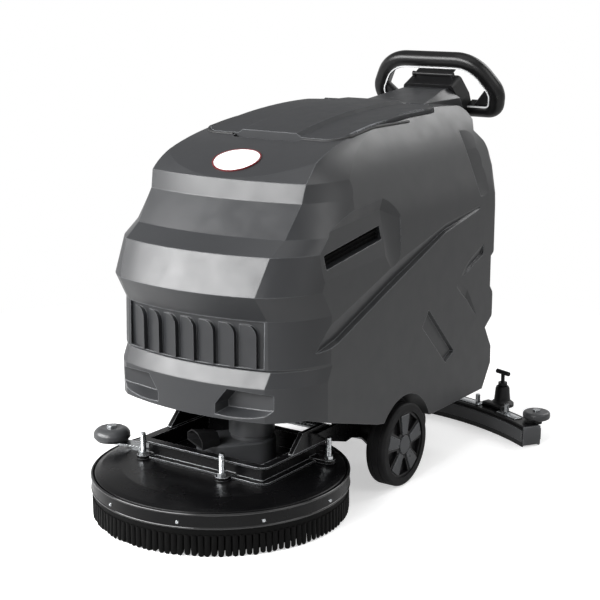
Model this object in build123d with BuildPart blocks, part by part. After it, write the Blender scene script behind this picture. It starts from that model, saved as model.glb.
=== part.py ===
from build123d import *

import math
import os

os.makedirs("parts", exist_ok=True)

# Walk-behind scrubber dryer, in millimetres. The front is towards -Y, +Z is up, +X is the machine's left
# side, and the origin is on the floor under the middle of the axle.

# Clearances
running_gap = 0.05
seat_gap = 0.3
skin_gap = 0.2

# Wheels and axle
wheel_radius = 100
wheel_width = 50
wheel_x = 247
tyre_round = 7
hub_radius = 79
hub_width = 42
axle_radius = 10
spoke_count = 5
groove_width = 2
pocket_depth = 10
trim_thickness = 3
cap_radius = 22

# Housing, seen from above
flank = 270
front_bow = 30
corner_depth = 150
rear_y = 466
rear_corner = 55
trim_margin = 2

# Housing, seen from the front: upright flanks that lean in above the shoulder
shoulder_z = 612
crown_half = 146
crown_z = 900
shoulder_radius = ((flank - crown_half) ** 2 + (crown_z - shoulder_z) ** 2) / (2 * (flank - crown_half))

# Housing, seen from the side
crown_y = 230
crown_top = 866
crown_radius = 1950
hood_y = -357
hood_z = 752
bumper_foot_z = 258
flank_foot_y = -385
sill_front_z = 182
sill_rear_z = 143
arch_radius = 122
arch_x = 208

# Stepped front of the housing: height, depth at the ends of a facet, half-width of a facet
front_steps = {
    "foot": (130, -452, 190),
    "bumper top": (333, -452, 192),
    "lip top": (366, -434, 195),
    "grille foot": (372, -440, 193),
    "grille top": (476, -438, 190),
    "chin": (533, -474, 184),
    "chest": (612, -436, 196),
    "shelf": (642, -388, 200),
    "band foot": (712, -335, 206),
    "band top": (752, -325, 210),
}
# Rounded hood above the top band, up to the lid
hood_steps = {
    "hood foot": (752, -325, 210),
    "hood middle": (806, -250, 196),
    "hood top": (846, -140, 160),
    "crown": (900, 60, 110),
}

# Hollows of the housing
bay_half = 250
bay_low_half = 196
bay_step_z = 245
bay_front_y = -418
bay_rear_y = 372
bay_corner_length = 120
bay_corner_width = 80
web_z = 545
web_thickness = 30
tray_corner = 30
tray_wall = 20
side_hollow_outer = 235
side_hollow_top = 730
hood_hollow_y = -165
tank_bulkhead = 14

# Groove, recess, creases and vent on the flanks
groove_depth = 12
crease_depth = 6
crease_fade = 60
vent_length = 227
vent_height = 31
vent_slope = 8
vent_y = -221
vent_z = 608
vent_depth = 26

# Lamp pockets in the bumper: outlines at the floor and ahead of it, across and up
pocket_floor_y = -440
pocket_reach = 50
pocket_floor = [(88, 292), (112, 318), (300, 318), (300, 306), (196, 284), (88, 276)]
pocket_mouth = [(76, 288), (106, 330), (312, 330), (312, 280), (198, 240), (76, 264)]

# Front grille
grille_half = 184
grille_z = 374
grille_height = 100
grille_depth = 9
louvre_count = 7
louvre_pitch = 50
louvre_width = 42
louvre_height = 92
louvre_proud = 11
louvre_round = 24

# Lid and its hinge
lid_front_y = -166
lid_rear_y = 276
lid_half = 190
lid_overlap = 22
lid_overlap_front = 28
lid_overlap_rear = 14
lid_corner = 45
lid_thickness = 13
lid_round = 7
lid_gap = 1.5
lid_sink = 12
lid_margin = 2
hinge_sink = 4
lid_panel_half = 88
lid_panel_rise = 8
seal_width = 7
notch_half = 92
notch_depth = 20
hinge_y = 290
hinge_pin_radius = 4
knuckle_radius = 9
knuckle_x = 120
knuckle_width = 40
ear_width = 12

# Tray of the recovery tank, under the lid's edges
tray_half = lid_half - lid_overlap
tray_front_y = lid_front_y + lid_overlap_front
tray_rear_y = lid_rear_y - lid_overlap_rear
side_hollow_x = tray_half + tray_wall

# Tanks, batteries and vacuum motor inside the housing
tank_wall = 5
tank_top_z = 815
basket_half = 70
basket_depth = 80
basket_height = 95
solution_z = 350
solution_rear_y = -165
battery_y = 105
battery_pitch = 172
battery_width = 168
battery_length = 330
battery_height = 220
vacuum_y = 280

# Brush deck
deck_y = -357
deck_radius = 291
skirt_height = 62
deck_top_z = 110
deck_rim_z = 97
deck_slope_width = 45.6
deck_wall = 4
skirt_thickness = 4
skirt_top_z = 92
band_thickness = 3
band_height = 33
rim_width = 12
brush_gap = 27.8
brush_block_z = 45
brush_block_height = 22
output_radius = 16
bristle_inner_radius = 100
deck_pivot_y = -30
deck_pivot_z = 155
pivot_pin_radius = 8
arm_x = 173
arm_width = 11
pivot_eye_radius = 14

# Deck frame, made of a channel that is open outwards
frame_half = 180
frame_front_y = -438
frame_rear_y = -180
frame_corner = 24
channel_height = 40
channel_depth = 22
channel_wall = 4
stud_radius = 6
stud_height = 60
stud_places = [(-158, -440), (76, -452), (206, -228), (-206, -228)]
stud_nut_radius = 11
stud_nut_height = 8
ear_radius = 15
ear_thickness = 8

# Gearbox and motor
motor_x = 45
motor_y = -300
motor_radius = 52
motor_height = 125
gearbox_height = 55
gearbox_radius = 55
motor_flange = 10
cowl_x = 8
cowl_y = -386
cowl_width = 84
cowl_height = 32
cowl_length = 50
cowl_wall = 3
cowl_turn = -28

# Guide roller, on the machine's right
roller_reach = 1
roller_y = -397
roller_radius = 43
roller_height = 30
roller_pin_radius = 7
bar_start_y = -384
bar_width = 34
bar_thickness = 5

# Chassis
rail_x = 150
rail_width = 30
rail_z = 135
rail_height = 40
floor_thickness = 5
chassis_front_y = -110
chassis_rear_y = 345
member_front_y = 55
floor_corner = 20
bracket_x = 185
bracket_thickness = 8
lug_x = 50
collar_width = 10
caster_plate_size = 80

# Rear casters
caster_x = 110
caster_y = 300
caster_trail = 25
caster_radius = 37.5
caster_width = 24
caster_pin_radius = 7
caster_plate = 6
fork_crown = 12
fork_leg = 5
caster_axle_radius = 5

# Squeegee, curved about a point ahead of it
squeegee_radius = 712
squeegee_y = 545
squeegee_half_angle = 33.5
squeegee_depth = 44
squeegee_top_z = 54
squeegee_plate = 8
blade_thickness = 4
strap_thickness = 3
squeegee_hinge_y = 365
squeegee_hinge_z = 124
squeegee_pin_radius = 6
swivel_y = 500
swivel_radius = 8
end_roller_radius = 35
end_roller_height = 20
end_roller_arc = 750
end_roller_angle = 30.6
roller_tab_width = 30
roller_bolt_radius = 6
lip_z = 20
lip_thickness = 4
strap_z = 14
strap_height = 30
swivel_plate_width = 80
swivel_eye_z = 60
swivel_eye_height = 30
squeegee_arm_width = 32
post_radius = 13
post_height = 56
knob_arc = 752
knob_angle = 19.5
knob_screw_radius = 5
knob_bar = 46
knob_top_z = 145
nut_angles = (15.5, 24.5)
nut_radius = 11
nut_height = 26
spigot_radius = 22.5
spigot_wall = 3
spigot_length = 66
spigot_lean = 18
spigot_shoulder = 20
spigot_step = 1.5
spigot_flange = 4.5

# Steering loop: a flat loop that leans forward, with the console hub inside it
loop_y = 567
loop_z = 955
loop_lean = 25.4
loop_half = 178
loop_foot_half = 162
loop_top_half = 125
loop_drop = 140
loop_shoulder = -84
loop_top = 4
loop_bends = [28, 50, 90]
grip_radius = 21
grip_flat = 14
strip_width = 30
strip_thickness = 5
bead_size = 3
hub_half = 88
hub_top_half = 72
hub_top = -46
hub_foot = -156
hub_front = 45
hub_rear = -8
hub_round = 12

# Controls on the hub, placed across and up the loop
panel_thickness = 4
panel_width = 132
panel_height = 92
panel_v = -103
display_v = -126
display_width = 62
display_height = 30
display_depth = 1.5
button_places = [(-12, -80), (16, -80)]
button_radius = 9
button_proud = 4
button_travel = 3
key_place = (-46, -80)
knob_place = (46, -82)
flow_knob_radius = 15
start_lever_v = -36
start_lever_w = 8
start_lever_reach = 34
start_pin_radius = 3
start_ear_radius = 6
lever_ear_x = 58

# Levers on the rear wall
lever_x = 130
lever_y = 484
lever_z = 580
lever_length = 100
lever_rake = 16
lever_width = 16
lever_boss_radius = 12
lever_knob_radius = 13
lever_pin_radius = 5
lever_ear = 8


def save(piece, name):
    piece.part.label = name
    export_step(piece.part, f"parts/{name}.step")


def flank_at(z):
    rise = max(0, z - shoulder_z)
    return flank - shoulder_radius + math.sqrt(shoulder_radius**2 - rise**2)


def crown_at(y):
    return crown_top - crown_radius + math.sqrt(crown_radius**2 - (y - crown_y) ** 2)


def plan_outline(z, end_y, facet_half):
    side = flank_at(z) + trim_margin
    with BuildSketch(Plane.XY.offset(z)) as outline:
        with BuildLine():
            ThreePointArc((-facet_half, end_y), (0, end_y - front_bow), (facet_half, end_y))
            for turn in (1, -1):
                TangentArc((turn * side, end_y + corner_depth), (turn * facet_half, end_y), tangent=(0, -1))
                Line((turn * side, end_y + corner_depth), (turn * side, rear_y - rear_corner))
                TangentArc(
                    (turn * side, rear_y - rear_corner),
                    (turn * (side - rear_corner), rear_y),
                    tangent=(0, 1),
                )
            Line((side - rear_corner, rear_y), (rear_corner - side, rear_y))
        make_face()
    return outline.sketch


def bay_outline(z, rear, inset):
    # Plan of the bay, with its front corners cut back behind the housing's rounded corners
    half = bay_half - inset
    front = bay_front_y + inset
    with BuildSketch(Plane.XY.offset(z)) as outline:
        Polygon(
            (-half, rear - inset),
            (half, rear - inset),
            (half, front + bay_corner_length),
            (half - bay_corner_width, front),
            (bay_corner_width - half, front),
            (-half, front + bay_corner_length),
            align=None,
        )
        fillet(outline.vertices(), radius=tray_corner - inset)
    return outline.sketch


def flank_wedge(y, upper, deep, lower, depth):
    # Upright section of a cut in the left flank: flush at the upper edge, deepest at the middle height
    reach = 6
    with BuildSketch(Plane.XZ.offset(-y)) as section:
        Polygon(
            (flank_at(upper) + reach, upper + reach * (upper - deep) / depth),
            (flank_at(deep) - depth, deep),
            (flank_at(lower) + reach, lower - reach * (deep - lower) / depth),
            align=None,
        )
    return section.sketch


def pocket_section(turn, ahead, outline):
    with BuildSketch(Plane.XZ.offset(ahead - pocket_floor_y)) as section:
        Polygon(*[(turn * x, z) for x, z in outline], align=None)
    return section.sketch


def flank_crease(z, y, depth):
    # Level section of a crease in the left flank: a step at its front edge that fades out rearwards
    side = flank_at(z)
    with BuildSketch(Plane.XY.offset(z)) as section:
        Polygon((side + 1, y - 1), (side - depth, y + depth), (side + 1, y + crease_fade), align=None)
    return section.sketch


loop_plane = Plane(
    origin=(0, loop_y, loop_z),
    x_dir=(1, 0, 0),
    z_dir=(0, -math.cos(math.radians(loop_lean)), -math.sin(math.radians(loop_lean))),
)

# Neck that carries the console, part of the housing's moulding
with BuildPart() as neck:
    with BuildSketch(Plane.YZ):
        Polygon((400, 765), (335, 855), (520, 884), (640, 890), (640, 823), (470, 735), align=None)
    extrude(amount=120, both=True)
    with BuildSketch(Plane.XZ):
        Polygon(
            (-100, 720),
            (100, 720),
            (90, 862),
            (58, 886),
            (58, 900),
            (-58, 900),
            (-58, 886),
            (-90, 862),
            align=None,
        )
    extrude(amount=700, both=True, mode=Mode.INTERSECT)
    with BuildSketch(loop_plane.offset(hub_front)):
        Rectangle(500, 800)
    extrude(amount=-300, mode=Mode.SUBTRACT)

# Cuts in the left flank: the long diagonal groove, the recess round the vent, creases and a hand hollow
with BuildPart() as flank_cuts:
    loft(
        sections=[
            flank_wedge(-520, 400, 366, 362, groove_depth),
            flank_wedge(-287, 466, 416, 411, groove_depth),
            flank_wedge(-40, 549, 508, 503, groove_depth),
            flank_wedge(176, 602, 585, 581, groove_depth * 0.7),
            flank_wedge(345, 622, 617, 614, groove_depth * 0.2),
        ],
        ruled=True,
    )
    loft(
        sections=[
            flank_wedge(-480, 664, 638, 545, groove_depth),
            flank_wedge(-100, 703, 672, 580, groove_depth),
            flank_wedge(-35, 660, 645, 600, groove_depth * 0.1),
        ],
        ruled=True,
    )
    loft(
        sections=[
            flank_crease(645, 352, crease_depth * 0.1),
            flank_crease(677, 337, crease_depth),
            flank_crease(717, 325, crease_depth),
            flank_crease(760, 320, crease_depth),
            flank_crease(806, 321, crease_depth * 0.1),
        ],
        ruled=True,
    )
    loft(
        sections=[
            flank_wedge(262, 464, 459, 457, crease_depth * 0.1),
            flank_wedge(312, 500, 478, 474, crease_depth),
            flank_wedge(372, 524, 500, 496, crease_depth),
        ],
        ruled=True,
    )
    loft(
        sections=[
            flank_wedge(238, 442, 437, 435, crease_depth * 0.1),
            flank_wedge(291, 420, 398, 394, crease_depth),
            flank_wedge(338, 352, 348, 346, crease_depth * 0.1),
        ],
        ruled=True,
    )
    with BuildSketch(Plane.YZ.offset(flank + 1)):
        Polygon((102, 407), (71, 369), (187, 257), (232, 277), align=None)
    extrude(amount=-9, taper=30)

grille_end_y, grille_end_half = front_steps["grille top"][1:]
bow_radius = (grille_end_half**2 + front_bow**2) / (2 * front_bow)
bow_y = grille_end_y - front_bow + bow_radius
hinge_z = crown_at(hinge_y) - hinge_sink
ear_offset = (knuckle_width + ear_width) / 2 + seat_gap
ears = [turn * (knuckle_x + shift) for turn in (1, -1) for shift in (ear_offset, -ear_offset)]
lever_offset = (lever_width + lever_ear) / 2 + seat_gap
lever_ears = [turn * lever_x + shift for turn in (1, -1) for shift in (lever_offset, -lever_offset)]

crown_centre = (0, crown_y, crown_top - crown_radius)
crown_start = math.radians(16)
crown_sweep = 22
crown_axis = Axis(crown_centre, (-1, 0, 0))
crown_plane = Plane(
    origin=crown_centre, x_dir=(1, 0, 0), z_dir=(0, -math.cos(crown_start), -math.sin(crown_start))
)


def crown_layer(foot, height):
    # Section of a layer that follows the crown, from its depth under the crown upwards
    with BuildSketch(crown_plane) as layer:
        with Locations((0, crown_radius - foot)):
            Rectangle(3 * lid_half, height, align=(Align.CENTER, Align.MIN))
    return layer.sketch


def lid_outline(margin):
    with BuildSketch(Plane.XY.offset(crown_top - 200)) as outline:
        with Locations((0, (lid_front_y + lid_rear_y) / 2)):
            RectangleRounded(
                2 * (lid_half + margin), lid_rear_y - lid_front_y + 2 * margin, lid_corner + margin
            )
    return outline.sketch


def vent_plane(turn):
    slope = math.tan(math.radians(vent_slope))
    return Plane(origin=(turn * flank, vent_y, vent_z), x_dir=(0, 1, slope), z_dir=(turn, 0, 0))


# Seat of the lid, sunk into the crown
with BuildPart() as lid_seat:
    revolve(crown_layer(lid_sink, 60), axis=crown_axis, revolution_arc=crown_sweep)
    extrude(lid_outline(lid_margin), amount=400, mode=Mode.INTERSECT)

# Body housing: a stepped front that is ruled from level to level, a rounded hood, and a crowned top
with BuildPart() as main_housing:
    loft(sections=[plan_outline(*step) for step in front_steps.values()], ruled=True)
    loft(sections=[plan_outline(*step) for step in hood_steps.values()])
    with BuildSketch(Plane.XZ):
        with BuildLine():
            for turn in (1, -1):
                Line((0, 0), (turn * flank, 0))
                Line((turn * flank, 0), (turn * flank, shoulder_z))
                TangentArc((turn * flank, shoulder_z), (turn * crown_half, crown_z), tangent=(0, 1))
            Line((crown_half, crown_z), (-crown_half, crown_z))
        make_face()
    extrude(amount=1000, both=True, mode=Mode.INTERSECT)
    with BuildSketch(Plane.YZ):
        with BuildLine():
            Polyline(
                (-650, bumper_foot_z),
                (flank_foot_y, bumper_foot_z),
                (-arch_radius, sill_front_z),
                (arch_radius, sill_rear_z),
                (385, sill_rear_z),
                (428, 205),
                (427, 246),
                (392, 303),
                (437, 334),
                (437, 378),
                (413, 407),
                (413, 485),
                (456, 512),
                (466, 646),
                (436, 671),
                (436, 722),
                (446, 728),
                (420, 775),
                (392, 801),
                (412, 826),
            )
            ThreePointArc((412, 826), (400, 850), (368, crown_at(368)))
            ThreePointArc((368, crown_at(368)), (0, crown_at(0)), (lid_front_y, crown_at(lid_front_y)))
            TangentArc(
                (lid_front_y, crown_at(lid_front_y)),
                (hood_y, hood_z),
                tangent=(-1, -math.tan(math.asin((crown_y - lid_front_y) / crown_radius))),
            )
            Polyline((hood_y, hood_z), (-650, hood_z), (-650, bumper_foot_z))
        make_face()
    extrude(amount=400, both=True, mode=Mode.INTERSECT)
    add(neck.part)
    # Wheel arches and flank cuts
    for turn in (1, -1):
        with BuildSketch(Plane.YZ.offset(turn * arch_x)):
            with Locations((0, wheel_radius)):
                Circle(arch_radius)
        extrude(amount=turn * 100, mode=Mode.SUBTRACT)
    add(flank_cuts.part, mode=Mode.SUBTRACT)
    add(mirror(flank_cuts.part, about=Plane.YZ, mode=Mode.PRIVATE), mode=Mode.SUBTRACT)
    # Hollows: the bay from below, its side pockets and the hood's inside, and the tank tray from above
    with BuildSketch(Plane.XY):
        with Locations((0, (bay_front_y + bay_rear_y) / 2)):
            RectangleRounded(2 * bay_low_half, bay_rear_y - bay_front_y, tray_corner)
    extrude(amount=web_z, mode=Mode.SUBTRACT)
    extrude(bay_outline(bay_step_z, bay_rear_y, 0), amount=web_z - bay_step_z, mode=Mode.SUBTRACT)
    side_hollow_mid = (side_hollow_x + side_hollow_outer) / 2
    for turn in (1, -1):
        with BuildSketch(Plane.XY.offset(web_z)):
            with Locations((turn * side_hollow_mid, (hood_hollow_y + bay_rear_y) / 2)):
                Rectangle(side_hollow_outer - side_hollow_x, bay_rear_y - hood_hollow_y)
        extrude(amount=side_hollow_top - web_z, mode=Mode.SUBTRACT)
    with BuildSketch(Plane.XY.offset(web_z + web_thickness)):
        with Locations((0, (tray_rear_y + tank_bulkhead + bay_rear_y) / 2)):
            Rectangle(2 * side_hollow_outer, bay_rear_y - tray_rear_y - tank_bulkhead)
    extrude(amount=side_hollow_top - web_z - web_thickness, mode=Mode.SUBTRACT)
    with BuildSketch(Plane.YZ):
        Polygon(
            (bay_front_y + 15, web_z),
            (bay_front_y + 40, 620),
            (-300, 712),
            (hood_hollow_y, 712),
            (hood_hollow_y, web_z),
            align=None,
        )
    extrude(amount=side_hollow_outer - 20, both=True, mode=Mode.SUBTRACT)
    with BuildSketch(Plane.XY.offset(web_z + web_thickness)):
        with Locations((0, (tray_front_y + tray_rear_y) / 2)):
            RectangleRounded(2 * tray_half, tray_rear_y - tray_front_y, tray_corner)
    extrude(amount=400, mode=Mode.SUBTRACT)
    add(lid_seat.part, mode=Mode.SUBTRACT)
    # Finger notch ahead of the lid, and the pocket of the lid's hinge
    with BuildSketch(Plane.XY.offset(crown_at(lid_front_y) - notch_depth)):
        with Locations((0, lid_front_y - 4)):
            RectangleRounded(2 * notch_half, 34, 12)
    extrude(amount=60, mode=Mode.SUBTRACT)
    with BuildSketch(Plane.XY.offset(hinge_z - knuckle_radius - 2)):
        pocket_rear_y = hinge_y + knuckle_radius + 2
        with Locations((0, (lid_rear_y + pocket_rear_y) / 2)):
            Rectangle(2 * (knuckle_x + knuckle_width), pocket_rear_y - lid_rear_y)
    extrude(amount=60, mode=Mode.SUBTRACT)
    # Lamp pockets in the bumper, each with a sloped ledge
    for turn in (1, -1):
        loft(
            sections=[
                pocket_section(turn, 0, pocket_floor),
                pocket_section(turn, pocket_reach, pocket_mouth),
            ],
            ruled=True,
            mode=Mode.SUBTRACT,
        )
    # Recess of the grille, vent pockets
    with BuildSketch(Plane.XY.offset(grille_z)):
        with Locations((0, bow_y)):
            Circle(bow_radius + 60)
            Circle(bow_radius - grille_depth, mode=Mode.SUBTRACT)
        with Locations((0, deck_y)):
            Rectangle(2 * grille_half, 400, mode=Mode.INTERSECT)
    extrude(amount=grille_height, mode=Mode.SUBTRACT)
    for turn in (1, -1):
        with BuildSketch(vent_plane(turn)):
            RectangleRounded(vent_length, vent_height, 4)
        extrude(amount=-vent_depth, mode=Mode.SUBTRACT)
    # Ears of the two levers on the rear wall
    for ear_x in lever_ears:
        with BuildSketch(Plane.YZ.offset(ear_x)):
            with Locations((lever_y, lever_z)):
                Circle(lever_boss_radius)
            with Locations((lever_y, lever_z)):
                Rectangle(lever_y - rear_y + 16, 2 * lever_boss_radius, align=(Align.MAX, Align.CENTER))
            with Locations((lever_y, lever_z)):
                Circle(lever_pin_radius, mode=Mode.SUBTRACT)
        extrude(amount=lever_ear / 2, both=True)
    # Hinge ears for the lid
    for ear_x in ears:
        with BuildSketch(Plane.YZ.offset(ear_x)):
            with Locations((hinge_y, hinge_z)):
                Circle(knuckle_radius)
            with Locations((hinge_y, hinge_z - knuckle_radius)):
                Rectangle(2 * knuckle_radius, 2 * knuckle_radius)
            with Locations((hinge_y, hinge_z)):
                Circle(hinge_pin_radius, mode=Mode.SUBTRACT)
        extrude(amount=ear_width / 2, both=True)

save(main_housing, "main_housing")

# One louvre, at the middle of the grille: proud at its left edge, with the upper corner there rounded
with BuildPart() as louvre:
    plate_y = bow_y - bow_radius + grille_depth
    with BuildSketch(Plane.XY.offset(grille_z + skin_gap)):
        Polygon(
            (-louvre_width / 2, plate_y - 2),
            (-louvre_width / 2, plate_y - 6),
            (louvre_width / 2, plate_y - louvre_proud - 4),
            (louvre_width / 2, plate_y - 2),
            align=None,
        )
    extrude(amount=louvre_height)
    louvre_corner = louvre.edges().group_by(Axis.Z)[-1].sort_by(Axis.X)[-1]
    fillet(louvre_corner, radius=louvre_round)

# Front grille: a curved back plate that carries the louvres
with BuildPart() as front_grille:
    with BuildSketch(Plane.XY.offset(grille_z + skin_gap)):
        with Locations((0, bow_y)):
            Circle(bow_radius - grille_depth + 4)
            Circle(bow_radius - grille_depth, mode=Mode.SUBTRACT)
        with Locations((0, deck_y)):
            Rectangle(2 * (grille_half - skin_gap), 400, mode=Mode.INTERSECT)
    extrude(amount=grille_height - 2 * skin_gap)
    louvre_step = math.degrees(louvre_pitch / bow_radius)
    for number in range(louvre_count):
        turn = (number - (louvre_count - 1) / 2) * louvre_step
        add(louvre.part.rotate(Axis((0, bow_y, 0), (0, 0, 1)), turn))
save(front_grille, "front_grille")

# Black inserts at the bottom of the vents
with BuildPart() as vent_inserts:
    for turn in (1, -1):
        with BuildSketch(vent_plane(turn).offset(-vent_depth)):
            RectangleRounded(vent_length - 2 * skin_gap, vent_height - 2 * skin_gap, 4)
        extrude(amount=4)
        with BuildSketch(vent_plane(turn).offset(-vent_depth)):
            with GridLocations(0, vent_height / 3, 1, 2):
                Rectangle(vent_length - 6, 3)
        extrude(amount=9)
save(vent_inserts, "vent_inserts")

# Recovery tank: an open tub in the tray
with BuildPart() as recovery_tank:
    with BuildSketch(Plane.XY.offset(web_z + web_thickness)):
        with Locations((0, (tray_front_y + tray_rear_y) / 2)):
            RectangleRounded(
                2 * (tray_half - seat_gap), tray_rear_y - tray_front_y - 2 * seat_gap, tray_corner - seat_gap
            )
    extrude(amount=tank_top_z - web_z - web_thickness)
    offset(amount=-tank_wall, openings=recovery_tank.faces().sort_by(Axis.Z)[-1])
save(recovery_tank, "recovery_tank")

# Lid: a crowned panel with a raised middle and two hinge knuckles
lid_foot = lid_sink - lid_gap
with BuildPart() as lid:
    with BuildSketch(crown_plane) as lid_section:
        with Locations((0, crown_radius - lid_foot)):
            Rectangle(2 * lid_half, lid_thickness, align=(Align.CENTER, Align.MIN))
        with Locations((0, crown_radius - lid_foot + lid_thickness)):
            Trapezoid(2 * lid_panel_half, lid_panel_rise, 30, align=(Align.CENTER, Align.MIN))
        fillet(lid_section.vertices().group_by(Axis.Y)[-2], radius=lid_round)
    revolve(axis=crown_axis, revolution_arc=crown_sweep)
    extrude(lid_outline(0), amount=400, mode=Mode.INTERSECT)
    for turn in (1, -1):
        with BuildSketch(Plane.YZ.offset(turn * knuckle_x)):
            with Locations((hinge_y, hinge_z)):
                Circle(knuckle_radius)
            with Locations((hinge_y, hinge_z + hinge_pin_radius)):
                Rectangle(hinge_y - lid_rear_y + 6, hinge_pin_radius, align=(Align.MAX, Align.CENTER))
            with Locations((hinge_y, hinge_z)):
                Circle(hinge_pin_radius + running_gap, mode=Mode.SUBTRACT)
        extrude(amount=knuckle_width / 2, both=True)
save(lid, "lid")

# Rubber seal under the lid, round the tray
with BuildPart() as lid_seal:
    seal_layer = crown_layer(lid_sink - skin_gap, lid_gap - skin_gap)
    revolve(seal_layer, axis=crown_axis, revolution_arc=crown_sweep)
    with BuildSketch(Plane.XY.offset(crown_top - 200)):
        with Locations((0, (tray_front_y + tray_rear_y) / 2)):
            seal_length = tray_rear_y - tray_front_y + 2
            RectangleRounded(
                2 * (tray_half + seal_width), seal_length + 2 * seal_width, tray_corner + seal_width
            )
            RectangleRounded(2 * tray_half + 2, seal_length, tray_corner + 1, mode=Mode.SUBTRACT)
    extrude(amount=400, mode=Mode.INTERSECT)
save(lid_seal, "lid_seal")

# Filter basket, hung on the tank's rear wall
with BuildPart() as filter_basket:
    basket_y = tray_rear_y - seat_gap - tank_wall - seat_gap - basket_depth / 2
    with BuildSketch(Plane.XY.offset(tank_top_z - basket_height)):
        with Locations((0, basket_y)):
            RectangleRounded(2 * basket_half, basket_depth, 8)
    extrude(amount=basket_height)
    offset(amount=-2, openings=filter_basket.faces().sort_by(Axis.Z)[-1])
    with BuildSketch(Plane.XY.offset(tank_top_z)):
        with Locations((0, tray_rear_y - tank_wall)):
            Rectangle(2 * basket_half, 2 * tank_wall - 4)
        with Locations((0, basket_y)):
            RectangleRounded(2 * basket_half, basket_depth, 8)
            RectangleRounded(2 * basket_half - 4, basket_depth - 4, 6, mode=Mode.SUBTRACT)
    extrude(amount=3)
    with BuildSketch(Plane.XZ.offset(-basket_y)):
        with Locations((0, tank_top_z - basket_height / 2)):
            with GridLocations(22, 22, 5, 3):
                Circle(6)
    extrude(amount=basket_depth, both=True, mode=Mode.SUBTRACT)
save(filter_basket, "filter_basket")

# Solution tank, a closed tank in the front of the bay
with BuildPart() as solution_tank:
    extrude(bay_outline(solution_z, solution_rear_y, seat_gap), amount=web_z - solution_z)
    tank_inset = seat_gap + tank_wall
    extrude(
        bay_outline(solution_z + tank_wall, solution_rear_y, tank_inset),
        amount=web_z - solution_z - 2 * tank_wall,
        mode=Mode.SUBTRACT,
    )
save(solution_tank, "solution_tank")

# Batteries with their terminals
with BuildPart() as batteries:
    with BuildSketch(Plane.XY.offset(rail_z + rail_height + floor_thickness)):
        with Locations((0, battery_y)):
            with GridLocations(battery_pitch, 0, 2, 1):
                RectangleRounded(battery_width, battery_length, 8)
    extrude(amount=battery_height)
    with BuildSketch(Plane.XY.offset(rail_z + rail_height + floor_thickness + battery_height)):
        with Locations((0, battery_y)):
            with GridLocations(battery_pitch, 0, 2, 1):
                with GridLocations(battery_width - 50, battery_length - 60, 2, 1):
                    Circle(9)
    extrude(amount=16)
save(batteries, "batteries")

# Vacuum motor under the web
with BuildPart() as vacuum_motor:
    with BuildSketch(Plane.XY.offset(web_z)):
        with Locations((0, vacuum_y)):
            Circle(72)
    extrude(amount=-30)
    with BuildSketch(Plane.XY.offset(web_z - 30)):
        with Locations((0, vacuum_y)):
            Circle(58)
    extrude(amount=-75)
    fillet(vacuum_motor.faces().sort_by(Axis.Z)[0].edges(), radius=10)
save(vacuum_motor, "vacuum_motor")

# Chassis: a floor plate on two rails, with cross members, axle brackets, caster plates and squeegee lugs
with BuildPart() as chassis_frame:
    floor_z = rail_z + rail_height
    with BuildSketch(Plane.XY.offset(floor_z)):
        with Locations((0, (chassis_front_y + chassis_rear_y) / 2)):
            RectangleRounded(2 * (bay_low_half - seat_gap), chassis_rear_y - chassis_front_y, floor_corner)
    extrude(amount=floor_thickness)
    with BuildSketch(Plane.XY.offset(rail_z)):
        with Locations((0, (chassis_front_y + chassis_rear_y) / 2)):
            with GridLocations(2 * rail_x, 0, 2, 1):
                Rectangle(rail_width, chassis_rear_y - chassis_front_y)
        for member_y in (member_front_y, chassis_rear_y - rail_width / 2):
            with Locations((0, member_y)):
                Rectangle(2 * rail_x, rail_width)
    extrude(amount=rail_height)
    for turn in (1, -1):
        with BuildSketch(Plane.YZ.offset(turn * bracket_x)):
            Polygon(
                (-250, floor_z + floor_thickness),
                (-190, 146),
                (-130, 128),
                (-106, 131),
                (-62, 120),
                (-24, wheel_radius - 12),
                (24, wheel_radius - 12),
                (62, 130),
                (75, floor_z + floor_thickness),
                align=None,
            )
            with Locations((0, wheel_radius)):
                Circle(2.6 * axle_radius)
        extrude(amount=bracket_thickness / 2, both=True)
        with BuildSketch(Plane.YZ.offset(turn * lug_x)):
            with Locations((squeegee_hinge_y, squeegee_hinge_z)):
                Circle(2 * squeegee_pin_radius)
            Polygon(
                (chassis_rear_y - rail_width, floor_z),
                (chassis_rear_y, floor_z),
                (squeegee_hinge_y + 8, squeegee_hinge_z + 9),
                (squeegee_hinge_y - 4, squeegee_hinge_z - 11),
                (chassis_rear_y - rail_width, rail_z),
                align=None,
            )
        extrude(amount=bracket_thickness / 2, both=True)
    with BuildSketch(Plane.XY.offset(rail_z - caster_plate)):
        with Locations((0, caster_y)):
            with GridLocations(2 * caster_x, 0, 2, 1):
                RectangleRounded(caster_plate_size, caster_plate_size, 8)
    extrude(amount=caster_plate)
    # Bores for the axle, the pivots and the caster pins
    with BuildSketch(Plane.YZ):
        with Locations((0, wheel_radius)):
            Circle(axle_radius)
        with Locations((deck_pivot_y, deck_pivot_z)):
            Circle(pivot_pin_radius)
        with Locations((squeegee_hinge_y, squeegee_hinge_z)):
            Circle(squeegee_pin_radius)
    extrude(amount=flank, both=True, mode=Mode.SUBTRACT)
    with BuildSketch(Plane.XY.offset(rail_z - caster_plate)):
        with Locations((0, caster_y)):
            with GridLocations(2 * caster_x, 0, 2, 1):
                Circle(caster_pin_radius + running_gap)
    extrude(amount=caster_plate, mode=Mode.SUBTRACT)
save(chassis_frame, "chassis_frame")

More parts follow.
